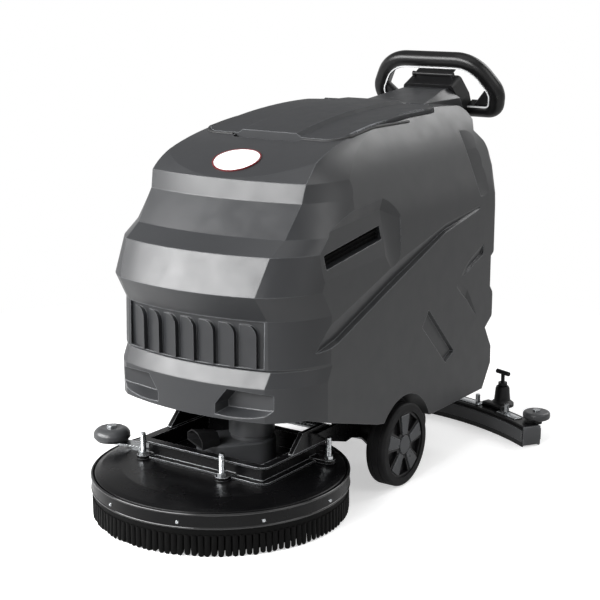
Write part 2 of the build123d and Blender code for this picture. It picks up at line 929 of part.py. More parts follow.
# Axle with a collar inside each wheel
axle_half = wheel_x + hub_width / 2 - 2 * seat_gap
collar_end = wheel_x - hub_width / 2 - seat_gap
with BuildPart() as axle_shaft:
    with BuildSketch(Plane.YZ):
        with Locations((0, wheel_radius)):
            Circle(axle_radius)
    extrude(amount=axle_half, both=True)
    for turn in (1, -1):
        with BuildSketch(Plane.YZ.offset(turn * collar_end)):
            with Locations((0, wheel_radius)):
                Circle(1.7 * axle_radius)
        extrude(amount=-turn * collar_width)
save(axle_shaft, "axle_shaft")

# Pins of the lid, the deck arms, the levers and the squeegee arm
with BuildPart() as hinge_pins:
    for turn in (1, -1):
        with BuildSketch(Plane.YZ.offset(turn * knuckle_x)):
            with Locations((hinge_y, hinge_z)):
                Circle(hinge_pin_radius)
        extrude(amount=ear_offset + ear_width / 2, both=True)
        with BuildSketch(Plane.YZ.offset(turn * (rail_x - rail_width / 2))):
            with Locations((deck_pivot_y, deck_pivot_z)):
                Circle(pivot_pin_radius)
        extrude(amount=turn * (bracket_x + bracket_thickness / 2 - rail_x + rail_width / 2))
        with BuildSketch(Plane.YZ.offset(turn * lever_x)):
            with Locations((lever_y, lever_z)):
                Circle(lever_pin_radius)
        extrude(amount=lever_offset + lever_ear / 2, both=True)
    with BuildSketch(Plane.YZ):
        with Locations((squeegee_hinge_y, squeegee_hinge_z)):
            Circle(squeegee_pin_radius)
    extrude(amount=lug_x + bracket_thickness / 2, both=True)
save(hinge_pins, "hinge_pins")


def wheel_plane(side, height):
    return Plane(origin=(side * (wheel_x + height), 0, wheel_radius), x_dir=(0, side, 0), z_dir=(side, 0, 0))


def make_wheel(side, name):
    # Tyre: a revolved section with rounded shoulders and two shallow grooves
    with BuildPart() as tyre:
        with BuildSketch(
            Plane(origin=(side * wheel_x, 0, wheel_radius), x_dir=(1, 0, 0), z_dir=(0, -1, 0))
        ) as tyre_section:
            with Locations((0, (hub_radius + wheel_radius) / 2)):
                Rectangle(wheel_width, wheel_radius - hub_radius)
            fillet(tyre_section.vertices().group_by(Axis.Y)[-1], radius=tyre_round)
            with Locations((0, wheel_radius)):
                with GridLocations(wheel_width / 3, 0, 2, 1):
                    Rectangle(groove_width, 2 * groove_width, mode=Mode.SUBTRACT)
        revolve(axis=Axis((0, 0, wheel_radius), (1, 0, 0)))
    save(tyre, f"tyre_{name}")

    # Hub with pockets between its spokes
    with BuildPart() as hub:
        with BuildSketch(wheel_plane(side, -hub_width / 2)):
            Circle(hub_radius)
            Circle(axle_radius + running_gap, mode=Mode.SUBTRACT)
        extrude(amount=hub_width)
        with BuildSketch(wheel_plane(side, hub_width / 2 - pocket_depth)):
            with PolarLocations(0, spoke_count, start_angle=90 + 180 / spoke_count):
                Polygon((34, -5), (72, -21), (72, 21), (34, 5), align=None)
        extrude(amount=pocket_depth, mode=Mode.SUBTRACT)
        with BuildSketch(wheel_plane(side, -hub_width / 2)):
            with PolarLocations((hub_radius + axle_radius) / 2, spoke_count, start_angle=90):
                RegularPolygon(16, 6)
        extrude(amount=pocket_depth, mode=Mode.SUBTRACT)
    save(hub, f"wheel_hub_{name}")

    # Pale spoke trims and the hub cap
    with BuildPart() as trims:
        with BuildSketch(wheel_plane(side, hub_width / 2)) as trim_face:
            with PolarLocations(0, spoke_count, start_angle=90):
                Polygon((25, -10), (73, -18), (73, 18), (25, 10), align=None)
            fillet(trim_face.vertices(), radius=2)
            Circle(cap_radius)
        extrude(amount=trim_thickness)
        chamfer(trims.faces().group_by(Axis.X)[-1 if side > 0 else 0].edges(), length=1)
    save(trims, f"wheel_trims_{name}")


make_wheel(1, "left")
make_wheel(-1, "right")

# Deck cover: a revolved lid with a sloping rim, open below
band_inner = deck_radius - band_thickness
skirt_outer = band_inner - skin_gap
cover_outer = skirt_outer - skirt_thickness - skin_gap
deck_flat_radius = cover_outer - rim_width - deck_slope_width
deck_axis = Axis((0, deck_y, 0), (0, 0, 1))
deck_section = Plane(origin=(0, deck_y, 0), x_dir=(1, 0, 0), z_dir=(0, -1, 0))
with BuildPart() as deck_cover:
    with BuildSketch(deck_section) as cover_profile:
        with BuildLine():
            Polyline(
                (output_radius + 2, deck_top_z),
                (deck_flat_radius, deck_top_z),
                (cover_outer - rim_width, deck_rim_z + 4),
                (cover_outer, deck_rim_z),
                (cover_outer, skirt_height),
                (cover_outer - deck_wall, skirt_height),
                (cover_outer - deck_wall, deck_rim_z - deck_wall),
                (deck_flat_radius, deck_top_z - deck_wall),
                (output_radius + 2, deck_top_z - deck_wall),
                close=True,
            )
        make_face()
        outer_corners = cover_profile.vertices().filter_by(lambda v: v.X > deck_flat_radius - 1)
        fillet(outer_corners.filter_by(lambda v: v.Y > deck_rim_z - 1), radius=3)
    revolve(axis=deck_axis)
save(deck_cover, "deck_cover")

# Splash skirt and the band that clamps it
with BuildPart() as splash_skirt:
    with BuildSketch(Plane.XY):
        with Locations((0, deck_y)):
            Circle(skirt_outer)
            Circle(skirt_outer - skirt_thickness, mode=Mode.SUBTRACT)
    extrude(amount=skirt_top_z)
save(splash_skirt, "splash_skirt")

with BuildPart() as skirt_band:
    with BuildSketch(Plane.XY.offset(skirt_height)):
        with Locations((0, deck_y)):
            Circle(deck_radius)
            Circle(band_inner, mode=Mode.SUBTRACT)
    extrude(amount=band_height)
    chamfer(skirt_band.edges().filter_by(GeomType.CIRCLE).group_by(SortBy.RADIUS)[-1], length=1)
save(skirt_band, "skirt_band")

# Deck frame: a loop of channel that is open outwards, with ears for the studs and two lifting arms
frame_mid_y = (frame_front_y + frame_rear_y) / 2
frame_length = frame_rear_y - frame_front_y
web_inset = channel_depth - channel_wall
eye_half = (bracket_x - rail_x - (bracket_thickness + rail_width) / 2) / 2 - seat_gap
with BuildPart() as deck_frame:
    with BuildSketch(Plane.XY.offset(deck_top_z)):
        with Locations((0, frame_mid_y)):
            RectangleRounded(2 * frame_half, frame_length, frame_corner)
            RectangleRounded(
                2 * (frame_half - channel_depth), frame_length - 2 * channel_depth, 3, mode=Mode.SUBTRACT
            )
    extrude(amount=channel_height)
    with BuildSketch(Plane.XY.offset(deck_top_z + channel_wall)):
        with Locations((0, frame_mid_y)):
            Rectangle(3 * frame_half, 2 * frame_length)
            RectangleRounded(
                2 * (frame_half - web_inset), frame_length - 2 * web_inset, 5, mode=Mode.SUBTRACT
            )
    extrude(amount=channel_height - 2 * channel_wall, mode=Mode.SUBTRACT)
    for stud_x, stud_y in stud_places:
        anchor_x = math.copysign(min(abs(stud_x), frame_half - channel_depth / 2), stud_x)
        anchor_y = max(stud_y, frame_front_y + channel_depth / 2)
        with BuildSketch(Plane.XY.offset(deck_top_z)):
            with Locations(((stud_x + anchor_x) / 2, (stud_y + anchor_y) / 2)):
                SlotCenterToCenter(
                    math.hypot(stud_x - anchor_x, stud_y - anchor_y),
                    2 * ear_radius,
                    rotation=math.degrees(math.atan2(stud_y - anchor_y, stud_x - anchor_x)),
                )
        extrude(amount=ear_thickness)
    for turn in (1, -1):
        with BuildSketch(Plane.YZ.offset(turn * arm_x)):
            Polygon(
                (-330, deck_top_z + channel_height - channel_wall),
                (-330, deck_top_z + channel_height + 2),
                (-290, 190),
                (-205, 190),
                (-130, deck_pivot_z + 7),
                (deck_pivot_y, deck_pivot_z + pivot_eye_radius),
                (deck_pivot_y, deck_pivot_z - pivot_eye_radius),
                (frame_rear_y, deck_top_z + channel_height - channel_wall),
                align=None,
            )
        extrude(amount=arm_width / 2, both=True)
        with BuildSketch(Plane.YZ.offset(turn * arm_x)):
            with Locations((deck_pivot_y, deck_pivot_z)):
                Circle(pivot_eye_radius)
        extrude(amount=eye_half, both=True)
    with BuildSketch(Plane.YZ):
        with Locations((deck_pivot_y, deck_pivot_z)):
            Circle(pivot_pin_radius + running_gap)
    extrude(amount=flank, both=True, mode=Mode.SUBTRACT)
    with BuildSketch(Plane.XY.offset(deck_top_z)):
        with Locations(*stud_places):
            Circle(stud_radius)
    extrude(amount=stud_height, mode=Mode.SUBTRACT)
save(deck_frame, "deck_frame")

# Plated studs with their nuts
with BuildPart() as deck_studs:
    with BuildSketch(Plane.XY.offset(deck_top_z)):
        with Locations(*stud_places):
            Circle(stud_radius)
    extrude(amount=stud_height)
    chamfer(deck_studs.faces().filter_by(Axis.Z).group_by(Axis.Z)[-1].edges(), length=1.5)
    with BuildSketch(Plane.XY.offset(deck_top_z + ear_thickness)):
        with Locations(*stud_places):
            RegularPolygon(stud_nut_radius, 6)
    extrude(amount=stud_nut_height)
save(deck_studs, "deck_studs")

# Gearbox over the brush, with the motor beside it
gearbox_top_z = deck_top_z + gearbox_height
with BuildPart() as gearbox:
    with BuildSketch(Plane.XY.offset(deck_top_z)):
        with Locations((motor_x / 2, (deck_y + motor_y) / 2)):
            SlotCenterToCenter(
                math.hypot(motor_x, motor_y - deck_y),
                2 * gearbox_radius,
                rotation=math.degrees(math.atan2(motor_y - deck_y, motor_x)),
            )
    extrude(amount=gearbox_height)
    fillet(gearbox.faces().sort_by(Axis.Z)[-1].edges(), radius=6)
save(gearbox, "gearbox")

with BuildPart() as brush_motor:
    with BuildSketch(Plane.XY.offset(gearbox_top_z)):
        with Locations((motor_x, motor_y)):
            Circle(gearbox_radius - 7)
    extrude(amount=motor_height)
    with BuildSketch(Plane.XY.offset(gearbox_top_z + motor_flange)):
        with Locations((motor_x, motor_y)):
            Circle(motor_radius)
    extrude(amount=motor_height - 2 * motor_flange)
    fillet(brush_motor.faces().sort_by(Axis.Z)[-1].edges(), radius=8)
save(brush_motor, "brush_motor")

# Cowl over the motor's terminals: a faceted hood that opens to the front
cowl_angle = math.radians(cowl_turn)
cowl_plane = Plane(
    origin=(cowl_x, cowl_y, gearbox_top_z),
    x_dir=(math.cos(cowl_angle), math.sin(cowl_angle), 0),
    z_dir=(math.sin(cowl_angle), -math.cos(cowl_angle), 0),
)


def cowl_section(distance, width, foot, top):
    with BuildSketch(cowl_plane.offset(distance)) as section:
        Polygon(
            (-width / 2, foot),
            (width / 2, foot),
            (width / 2, foot + (top - foot) * 0.55),
            (width / 5, top),
            (-width / 5, top),
            (-width / 2, foot + (top - foot) * 0.55),
            align=None,
        )
    return section.sketch


with BuildPart() as motor_cowl:
    cowl_back = cowl_section(0, cowl_width * 0.6, 0, cowl_height * 0.8)
    cowl_mouth = cowl_section(cowl_length, cowl_width, 0, cowl_height)
    loft(sections=[cowl_back, cowl_mouth], ruled=True)
    back_width = cowl_width * 0.6 - 2 * cowl_wall
    inner_back = cowl_section(cowl_wall, back_width, cowl_wall, cowl_height * 0.8 - cowl_wall)
    inner_mouth = cowl_section(cowl_length, cowl_width - 2 * cowl_wall, cowl_wall, cowl_height - cowl_wall)
    loft(sections=[inner_back, inner_mouth], ruled=True, mode=Mode.SUBTRACT)
save(motor_cowl, "motor_cowl")

# Guide roller on a bar that is bolted to the deck
roller_x = -deck_radius - roller_reach
with BuildPart() as roller_bracket:
    bar_start_x = -frame_half - bar_width / 2 - seat_gap
    bar_angle = math.atan2(roller_y - bar_start_y, roller_x - bar_start_x)
    with BuildSketch(Plane.XY.offset(deck_top_z)):
        with Locations(((bar_start_x + roller_x) / 2, (bar_start_y + roller_y) / 2)):
            SlotCenterToCenter(
                math.hypot(roller_x - bar_start_x, roller_y - bar_start_y),
                bar_width,
                rotation=math.degrees(bar_angle),
            )
    extrude(amount=bar_thickness)
    with BuildSketch(Plane.XY.offset(deck_top_z + bar_thickness)):
        with Locations((roller_x, roller_y)):
            Circle(roller_pin_radius)
    extrude(amount=roller_height + 2 * seat_gap)
    with BuildSketch(Plane.XY.offset(deck_top_z + bar_thickness + roller_height + 2 * seat_gap)):
        with Locations((roller_x, roller_y)):
            RegularPolygon(1.7 * roller_pin_radius, 6)
    extrude(amount=5)
    chamfer(roller_bracket.faces().sort_by(Axis.Z)[-1].edges(), length=1)
save(roller_bracket, "roller_bracket")

with BuildPart() as guide_roller:
    roller_foot_z = deck_top_z + bar_thickness + seat_gap
    with BuildSketch(Plane(origin=(roller_x, roller_y, roller_foot_z), x_dir=(1, 0, 0), z_dir=(0, -1, 0))):
        with BuildLine():
            bore = roller_pin_radius + running_gap
            Polyline(
                (bore, roller_height),
                (bore, 0),
                (roller_radius - 6, 0),
                (roller_radius, roller_height * 0.25),
                (roller_radius, roller_height * 0.55),
            )
            ThreePointArc(
                (roller_radius, roller_height * 0.55),
                (roller_radius * 0.84, roller_height * 0.88),
                (roller_radius * 0.5, roller_height),
            )
            Line((roller_radius * 0.5, roller_height), (bore, roller_height))
        make_face()
    revolve(axis=Axis((roller_x, roller_y, 0), (0, 0, 1)))
save(guide_roller, "guide_roller")

# Disc brush: a block with its drive boss, and the ring of bristles
brush_radius = skirt_outer - skirt_thickness - brush_gap
with BuildPart() as brush_disc:
    with BuildSketch(Plane.XY.offset(brush_block_z)):
        with Locations((0, deck_y)):
            Circle(brush_radius)
    extrude(amount=brush_block_height)
    fillet(brush_disc.edges().sort_by(Axis.Z)[-1], radius=5)
    with BuildSketch(Plane.XY.offset(brush_block_z + brush_block_height)):
        with Locations((0, deck_y)):
            Circle(output_radius)
    extrude(amount=deck_top_z - seat_gap - brush_block_z - brush_block_height)
save(brush_disc, "brush_disc")

with BuildPart() as brush_bristles:
    with BuildSketch(Plane.XY):
        with Locations((0, deck_y)):
            Circle(brush_radius)
            Circle(bristle_inner_radius, mode=Mode.SUBTRACT)
    extrude(amount=brush_block_z)
save(brush_bristles, "brush_bristles")


def make_caster(side, name):
    # Fork: a crown under the caster plate, two legs, the king pin with its nut, and the wheel's axle
    centre_x = side * caster_x
    axle_y = caster_y + caster_trail
    crown_top_z = rail_z - caster_plate - seat_gap
    leg_offset = caster_width / 2 + seat_gap + fork_leg / 2
    with BuildPart() as fork:
        with BuildSketch(Plane.XY.offset(crown_top_z - fork_crown)):
            with Locations((centre_x, caster_y)):
                Circle(caster_width)
        extrude(amount=fork_crown)
        with BuildSketch(Plane.XY.offset(crown_top_z)):
            with Locations((centre_x, caster_y)):
                Circle(caster_pin_radius)
        extrude(amount=rail_z + seat_gap - crown_top_z)
        with BuildSketch(Plane.XY.offset(rail_z + seat_gap)):
            with Locations((centre_x, caster_y)):
                RegularPolygon(1.7 * caster_pin_radius, 6)
        extrude(amount=caster_pin_radius)
        for turn in (1, -1):
            with BuildSketch(Plane.YZ.offset(centre_x + turn * leg_offset)):
                Polygon(
                    (caster_y - 16, crown_top_z),
                    (caster_y - 16, crown_top_z - fork_crown - 10),
                    (axle_y - 10, caster_radius),
                    (axle_y + 10, caster_radius),
                    (caster_y + 18, crown_top_z),
                    align=None,
                )
                with Locations((axle_y, caster_radius)):
                    Circle(10)
            extrude(amount=fork_leg / 2, both=True)
        with BuildSketch(Plane.YZ.offset(centre_x)):
            with Locations((axle_y, caster_radius)):
                Circle(caster_axle_radius)
        extrude(amount=leg_offset, both=True)
    save(fork, f"caster_fork_{name}")

    with BuildPart() as wheel:
        with BuildSketch(Plane.YZ.offset(centre_x)):
            with Locations((axle_y, caster_radius)):
                Circle(caster_radius)
                Circle(caster_axle_radius + running_gap, mode=Mode.SUBTRACT)
        extrude(amount=caster_width / 2, both=True)
        fillet(wheel.edges().filter_by(GeomType.CIRCLE).group_by(SortBy.RADIUS)[-1], radius=5)
    save(wheel, f"caster_wheel_{name}")


make_caster(1, "left")
make_caster(-1, "right")

# Squeegee arm: a hinge tube, a sloping beam and the eye of the swivel
with BuildPart() as squeegee_arm:
    with BuildSketch(Plane.YZ):
        with Locations((squeegee_hinge_y, squeegee_hinge_z)):
            Circle(2 * squeegee_pin_radius)
    extrude(amount=lug_x - bracket_thickness / 2 - seat_gap, both=True)
    with BuildSketch(Plane.YZ):
        Polygon(
            (squeegee_hinge_y - 6, squeegee_hinge_z + 8),
            (squeegee_hinge_y + 8, squeegee_hinge_z + 8),
            (swivel_y - 14, swivel_eye_z + swivel_eye_height),
            (swivel_y - 14, swivel_eye_z),
            (swivel_y - 30, swivel_eye_z),
            (squeegee_hinge_y - 6, squeegee_hinge_z - 8),
            align=None,
        )
    extrude(amount=squeegee_arm_width / 2, both=True)
    with BuildSketch(Plane.XY.offset(swivel_eye_z)):
        with Locations((0, swivel_y)):
            Circle(2.5 * swivel_radius)
    extrude(amount=swivel_eye_height)
    with BuildSketch(Plane.YZ):
        with Locations((squeegee_hinge_y, squeegee_hinge_z)):
            Circle(squeegee_pin_radius + running_gap)
    extrude(amount=lug_x, both=True, mode=Mode.SUBTRACT)
    with BuildSketch(Plane.XY.offset(swivel_eye_z)):
        with Locations((0, swivel_y)):
            Circle(swivel_radius + running_gap)
    extrude(amount=swivel_eye_height, mode=Mode.SUBTRACT)
save(squeegee_arm, "squeegee_arm")

squeegee_centre_y = squeegee_y - squeegee_radius
inner_arc = squeegee_radius - squeegee_depth / 2
outer_arc = squeegee_radius + squeegee_depth / 2


def arc_point(radius, angle):
    turn = math.radians(angle)
    return (radius * math.sin(turn), squeegee_centre_y + radius * math.cos(turn))


def arc_band(z, inner, outer):
    with BuildSketch(Plane.XY.offset(z)) as band:
        with BuildLine():
            for radius in (inner, outer):
                CenterArc((0, squeegee_centre_y), radius, 90 - squeegee_half_angle, 2 * squeegee_half_angle)
            for angle in (squeegee_half_angle, -squeegee_half_angle):
                Line(arc_point(inner, angle), arc_point(outer, angle))
        make_face()
    return band.sketch


def arm_slot(near, far, angle, width):
    # A rounded tab that points away from the squeegee's centre of curvature
    with Locations(arc_point((near + far) / 2, angle)):
        SlotCenterToCenter(far - near, width, rotation=90 - angle)


# Squeegee frame: a curved channel with the swivel plate, roller tabs and screw posts
plate_z = squeegee_top_z - squeegee_plate
post_places = [arc_point(knob_arc, turn * knob_angle) for turn in (1, -1)]
roller_places = [arc_point(end_roller_arc, turn * end_roller_angle) for turn in (1, -1)]
with BuildPart() as squeegee_frame:
    extrude(arc_band(plate_z, inner_arc, outer_arc), amount=squeegee_plate)
    extrude(arc_band(lip_z, inner_arc, inner_arc + lip_thickness), amount=plate_z - lip_z)
    extrude(arc_band(lip_z, outer_arc - lip_thickness, outer_arc), amount=plate_z - lip_z)
    for turn in (1, -1):
        with BuildSketch(Plane.XY.offset(lip_z)):
            end_angle = turn * (squeegee_half_angle - 0.2)
            with Locations(arc_point(squeegee_radius, end_angle)):
                Rectangle(lip_thickness, squeegee_depth - 2, rotation=-end_angle)
        extrude(amount=plate_z - lip_z)
    with BuildSketch(Plane.XY.offset(plate_z)):
        with Locations((0, (swivel_y + squeegee_y) / 2)):
            RectangleRounded(swivel_plate_width, squeegee_y - swivel_y + swivel_plate_width, 14)
        for turn in (1, -1):
            arm_slot(squeegee_radius, end_roller_arc, turn * end_roller_angle, roller_tab_width)
            arm_slot(squeegee_radius, knob_arc, turn * knob_angle, roller_tab_width)
    extrude(amount=squeegee_plate)
    with BuildSketch(Plane.XY.offset(squeegee_top_z)):
        with Locations((0, swivel_y)):
            Circle(1.8 * swivel_radius)
    extrude(amount=swivel_eye_z - seat_gap - squeegee_top_z)
    with BuildSketch(Plane.XY.offset(squeegee_top_z)):
        with Locations((0, swivel_y)):
            Circle(swivel_radius)
    extrude(amount=swivel_eye_z + swivel_eye_height + seat_gap - squeegee_top_z)
    with BuildSketch(Plane.XY.offset(swivel_eye_z + swivel_eye_height + seat_gap)):
        with Locations((0, swivel_y)):
            RegularPolygon(1.7 * swivel_radius, 6)
    extrude(amount=swivel_radius)
    with BuildSketch(Plane.XY.offset(squeegee_top_z)):
        with Locations(*post_places):
            Circle(post_radius)
    extrude(amount=post_height, taper=2)
    # Bores of the screw posts, the roller bolts and the suction way
    with BuildSketch(Plane.XY.offset(plate_z)):
        with Locations(*post_places):
            Circle(knob_screw_radius + running_gap)
        with Locations(*roller_places):
            Circle(roller_bolt_radius)
        with Locations((0, squeegee_y)):
            Circle(spigot_radius - spigot_wall)
    extrude(amount=post_height + squeegee_plate, mode=Mode.SUBTRACT)
save(squeegee_frame, "squeegee_frame")

# Rubber blades and the straps that hold them
with BuildPart() as front_blade:
    extrude(arc_band(0, inner_arc - blade_thickness, inner_arc), amount=plate_z)
save(front_blade, "front_blade")

with BuildPart() as rear_blade:
    extrude(arc_band(0, outer_arc, outer_arc + blade_thickness), amount=plate_z)
save(rear_blade, "rear_blade")

with BuildPart() as blade_straps:
    front_face = inner_arc - blade_thickness
    rear_face = outer_arc + blade_thickness
    extrude(arc_band(strap_z, front_face - strap_thickness, front_face), amount=strap_height)
    extrude(arc_band(strap_z, rear_face, rear_face + strap_thickness), amount=strap_height)
save(blade_straps, "blade_straps")

# Suction spigot: a stub that a hose pushes onto as far as its shoulder; it leans back on a level flange
spigot_angle = math.radians(spigot_lean)
spigot_plane = Plane(
    origin=(0, squeegee_y, squeegee_top_z),
    x_dir=(1, 0, 0),
    z_dir=(0, math.sin(spigot_angle), math.cos(spigot_angle)),
)
with BuildPart() as suction_spigot:
    with BuildSketch(spigot_plane.offset(-spigot_radius)):
        Circle(spigot_radius + spigot_step)
    extrude(amount=spigot_radius + spigot_shoulder)
    with BuildSketch(Plane.XY.offset(squeegee_top_z)):
        with Locations((0, squeegee_y)):
            Circle(spigot_radius + spigot_step + spigot_flange)
    extrude(amount=spigot_wall)
    with BuildSketch(Plane.XY.offset(squeegee_top_z)):
        with Locations((0, squeegee_y)):
            Rectangle(6 * spigot_radius, 6 * spigot_radius)
    extrude(amount=-3 * spigot_radius, mode=Mode.SUBTRACT)
    with BuildSketch(spigot_plane.offset(spigot_shoulder)):
        Circle(spigot_radius)
    extrude(amount=spigot_length - spigot_shoulder)
    with BuildSketch(spigot_plane.offset(-spigot_radius)):
        Circle(spigot_radius - spigot_wall)
    extrude(amount=spigot_radius + spigot_length, mode=Mode.SUBTRACT)
save(suction_spigot, "suction_spigot")

# Plated fixings on the squeegee: strap nuts and the bolts of the end rollers
end_roller_z = squeegee_top_z + 4
with BuildPart() as squeegee_fixings:
    nut_places = [arc_point(squeegee_radius, turn * angle) for turn in (1, -1) for angle in nut_angles]
    with BuildSketch(Plane.XY.offset(squeegee_top_z)):
        with Locations(*nut_places):
            Circle(nut_radius)
    extrude(amount=3)
    with BuildSketch(Plane.XY.offset(squeegee_top_z)):
        with Locations(*nut_places):
            RegularPolygon(0.62 * nut_radius, 6)
    extrude(amount=nut_height)
    with BuildSketch(Plane.XY.offset(plate_z)):
        with Locations(*roller_places):
            Circle(roller_bolt_radius)
    extrude(amount=end_roller_z + end_roller_height + seat_gap - plate_z)
    with BuildSketch(Plane.XY.offset(squeegee_top_z)):
        with Locations(*roller_places):
            Circle(1.6 * roller_bolt_radius)
    extrude(amount=end_roller_z - seat_gap - squeegee_top_z)
    with BuildSketch(Plane.XY.offset(end_roller_z + end_roller_height + seat_gap)):
        with Locations(*roller_places):
            Circle(1.6 * roller_bolt_radius)
    extrude(amount=4)
save(squeegee_fixings, "squeegee_fixings")


def make_squeegee_end(place, screw_place, knob_turn, name):
    # Guide roller at the end of the squeegee
    with BuildPart() as roller:
        with BuildSketch(Plane.XY.offset(end_roller_z)):
            with Locations(place):
                Circle(end_roller_radius)
                Circle(roller_bolt_radius + running_gap, mode=Mode.SUBTRACT)
        extrude(amount=end_roller_height)
        fillet(roller.edges().filter_by(GeomType.CIRCLE).group_by(SortBy.RADIUS)[-1], radius=7)
    save(roller, f"end_roller_{name}")

    # Screw with a T handle that sets the blade's pressure
    with BuildPart() as knob:
        with BuildSketch(Plane.XY.offset(squeegee_top_z)):
            with Locations(screw_place):
                Circle(knob_screw_radius)
        extrude(amount=knob_top_z - squeegee_top_z)
        with BuildSketch(Plane.XY.offset(squeegee_top_z + post_height + seat_gap)):
            with Locations(screw_place):
                Circle(post_radius - 1)
        extrude(amount=8)
        bar_plane = Plane(
            origin=(*screw_place, knob_top_z),
            x_dir=(0, 0, 1),
            z_dir=(math.cos(math.radians(knob_turn)), -math.sin(math.radians(knob_turn)), 0),
        )
        with BuildSketch(bar_plane):
            Circle(1.2 * knob_screw_radius)
        extrude(amount=knob_bar / 2, both=True)
        fillet(knob.edges().filter_by(GeomType.CIRCLE).group_by(SortBy.RADIUS)[1], radius=2)
    save(knob, f"pressure_knob_{name}")


make_squeegee_end(roller_places[0], post_places[0], knob_angle, "left")
make_squeegee_end(roller_places[1], post_places[1], -knob_angle, "right")

# Console hub between the ends of the loop, with a cover under the neck
control_z = hub_rear - panel_thickness


def loop_side(shift):
    # Plane across the loop: its first axis runs up the loop, its second towards the front
    return Plane(origin=loop_plane.from_local_coords((shift, 0, 0)), x_dir=loop_plane.y_dir, z_dir=(1, 0, 0))


with BuildPart() as console_body:
    with BuildSketch(loop_plane.offset(hub_rear)) as hub_face:
        Polygon(
            (-hub_top_half, hub_top),
            (hub_top_half, hub_top),
            (hub_half, hub_top - 50),
            (hub_half, hub_foot),
            (-hub_half, hub_foot),
            (-hub_half, hub_top - 50),
            align=None,
        )
        fillet(hub_face.vertices(), radius=hub_round)
    extrude(amount=hub_front - hub_rear)
    with BuildSketch(Plane.YZ):
        Polygon((601, 800), (606, 789), (476, 721), (452, 721), (452, 726), (470, 735 - seat_gap), align=None)
    extrude(amount=hub_half - 12, both=True)
    for turn in (1, -1):
        with BuildSketch(loop_side(turn * lever_ear_x)):
            with Locations((start_lever_v, start_lever_w)):
                Circle(start_ear_radius)
            with Locations(((start_lever_v + hub_top - 4) / 2, start_lever_w)):
                Rectangle(start_lever_v - hub_top + 4, 2 * start_ear_radius)
            with Locations((start_lever_v, start_lever_w)):
                Circle(start_pin_radius + running_gap, mode=Mode.SUBTRACT)
        extrude(amount=3, both=True)
    # Wells of the buttons
    with BuildSketch(loop_plane.offset(hub_rear)):
        with Locations(*button_places):
            Circle(button_radius + seat_gap)
    extrude(amount=button_travel + 3, mode=Mode.SUBTRACT)
save(console_body, "console_body")

# Control panel with holes for the controls and a seat for the display
with BuildPart() as control_panel:
    with BuildSketch(loop_plane.offset(hub_rear)):
        with Locations((0, panel_v)):
            RectangleRounded(panel_width, panel_height, 10)
        with Locations(*button_places, key_place, knob_place):
            Circle(button_radius + seat_gap, mode=Mode.SUBTRACT)
    extrude(amount=-panel_thickness)
    with BuildSketch(loop_plane.offset(control_z)):
        with Locations((0, display_v)):
            RectangleRounded(display_width, display_height, 4)
    extrude(amount=display_depth, mode=Mode.SUBTRACT)
save(control_panel, "control_panel")

with BuildPart() as display_lens:
    with BuildSketch(loop_plane.offset(control_z + display_depth)):
        with Locations((0, display_v)):
            RectangleRounded(display_width - 2 * skin_gap, display_height - 2 * skin_gap, 4)
    extrude(amount=-display_depth - 1)
save(display_lens, "display_lens")

for place, name in zip(button_places, ("brush_button", "vacuum_button")):
    with BuildPart() as button:
        with BuildSketch(loop_plane.offset(hub_rear)):
            with Locations(place):
                Circle(button_radius)
        extrude(amount=-panel_thickness - button_proud)
        fillet(button.edges().sort_by(Axis((0, 0, 0), loop_plane.z_dir))[0], radius=1.5)
    save(button, name)

# Key in its switch
with BuildPart() as key:
    with BuildSketch(loop_plane.offset(hub_rear - seat_gap)):
        with Locations(key_place):
            Circle(button_radius)
    extrude(amount=-panel_thickness - 2)
    with BuildSketch(loop_plane.offset(control_z - 2)):
        with Locations(key_place):
            Rectangle(4, 12)
    extrude(amount=-6)
    with BuildSketch(loop_plane.offset(control_z - 7)):
        with Locations(key_place):
            RectangleRounded(4.5, 22, 2)
    extrude(amount=-16)
save(key, "key")

# Water flow knob with a pointer rib
with BuildPart() as flow_knob:
    with BuildSketch(loop_plane.offset(hub_rear - seat_gap)):
        with Locations(knob_place):
            Circle(button_radius)
    extrude(amount=-panel_thickness - 2)
    with BuildSketch(loop_plane.offset(control_z - 1)):
        with Locations(knob_place):
            Circle(flow_knob_radius)
    extrude(amount=-6)
    with BuildSketch(loop_plane.offset(control_z - 7)):
        with Locations(knob_place):
            SlotOverall(2 * flow_knob_radius - 2, 8, rotation=90)
    extrude(amount=-8)
save(flow_knob, "flow_knob")

# Start lever: a paddle on a bar that turns in the hub's ears
with BuildPart() as start_lever:
    with BuildSketch(loop_side(0)):
        with Locations((start_lever_v, start_lever_w)):
            Circle(start_ear_radius - 1)
        Polygon(
            (start_lever_v - 2, start_lever_w),
            (start_lever_v + 2, start_lever_w),
            (start_lever_v + 4, start_lever_w - start_lever_reach),
            (start_lever_v, start_lever_w - start_lever_reach),
            align=None,
        )
    extrude(amount=lever_ear_x - 3 - seat_gap, both=True)
    with BuildSketch(loop_side(0)):
        with Locations((start_lever_v, start_lever_w)):
            Circle(start_pin_radius)
    extrude(amount=lever_ear_x + 3, both=True)
save(start_lever, "start_lever")

# Steering loop: one bent path carries the grip, the strip inside it and the pale bead along its front edge
grip_end = hub_half + seat_gap
with BuildLine(loop_plane) as loop_line:
    FilletPolyline(
        (grip_end, -loop_drop),
        (loop_foot_half, -loop_drop),
        (loop_half, loop_shoulder),
        (loop_top_half, loop_top),
        (-loop_top_half, loop_top),
        (-loop_half, loop_shoulder),
        (-loop_foot_half, -loop_drop),
        (-grip_end, -loop_drop),
        radius=loop_bends + loop_bends[::-1],
    )
loop_path = loop_line.wires()[0]
grip_start = Plane(origin=loop_path @ 0, x_dir=loop_plane.z_dir, z_dir=loop_path % 0)

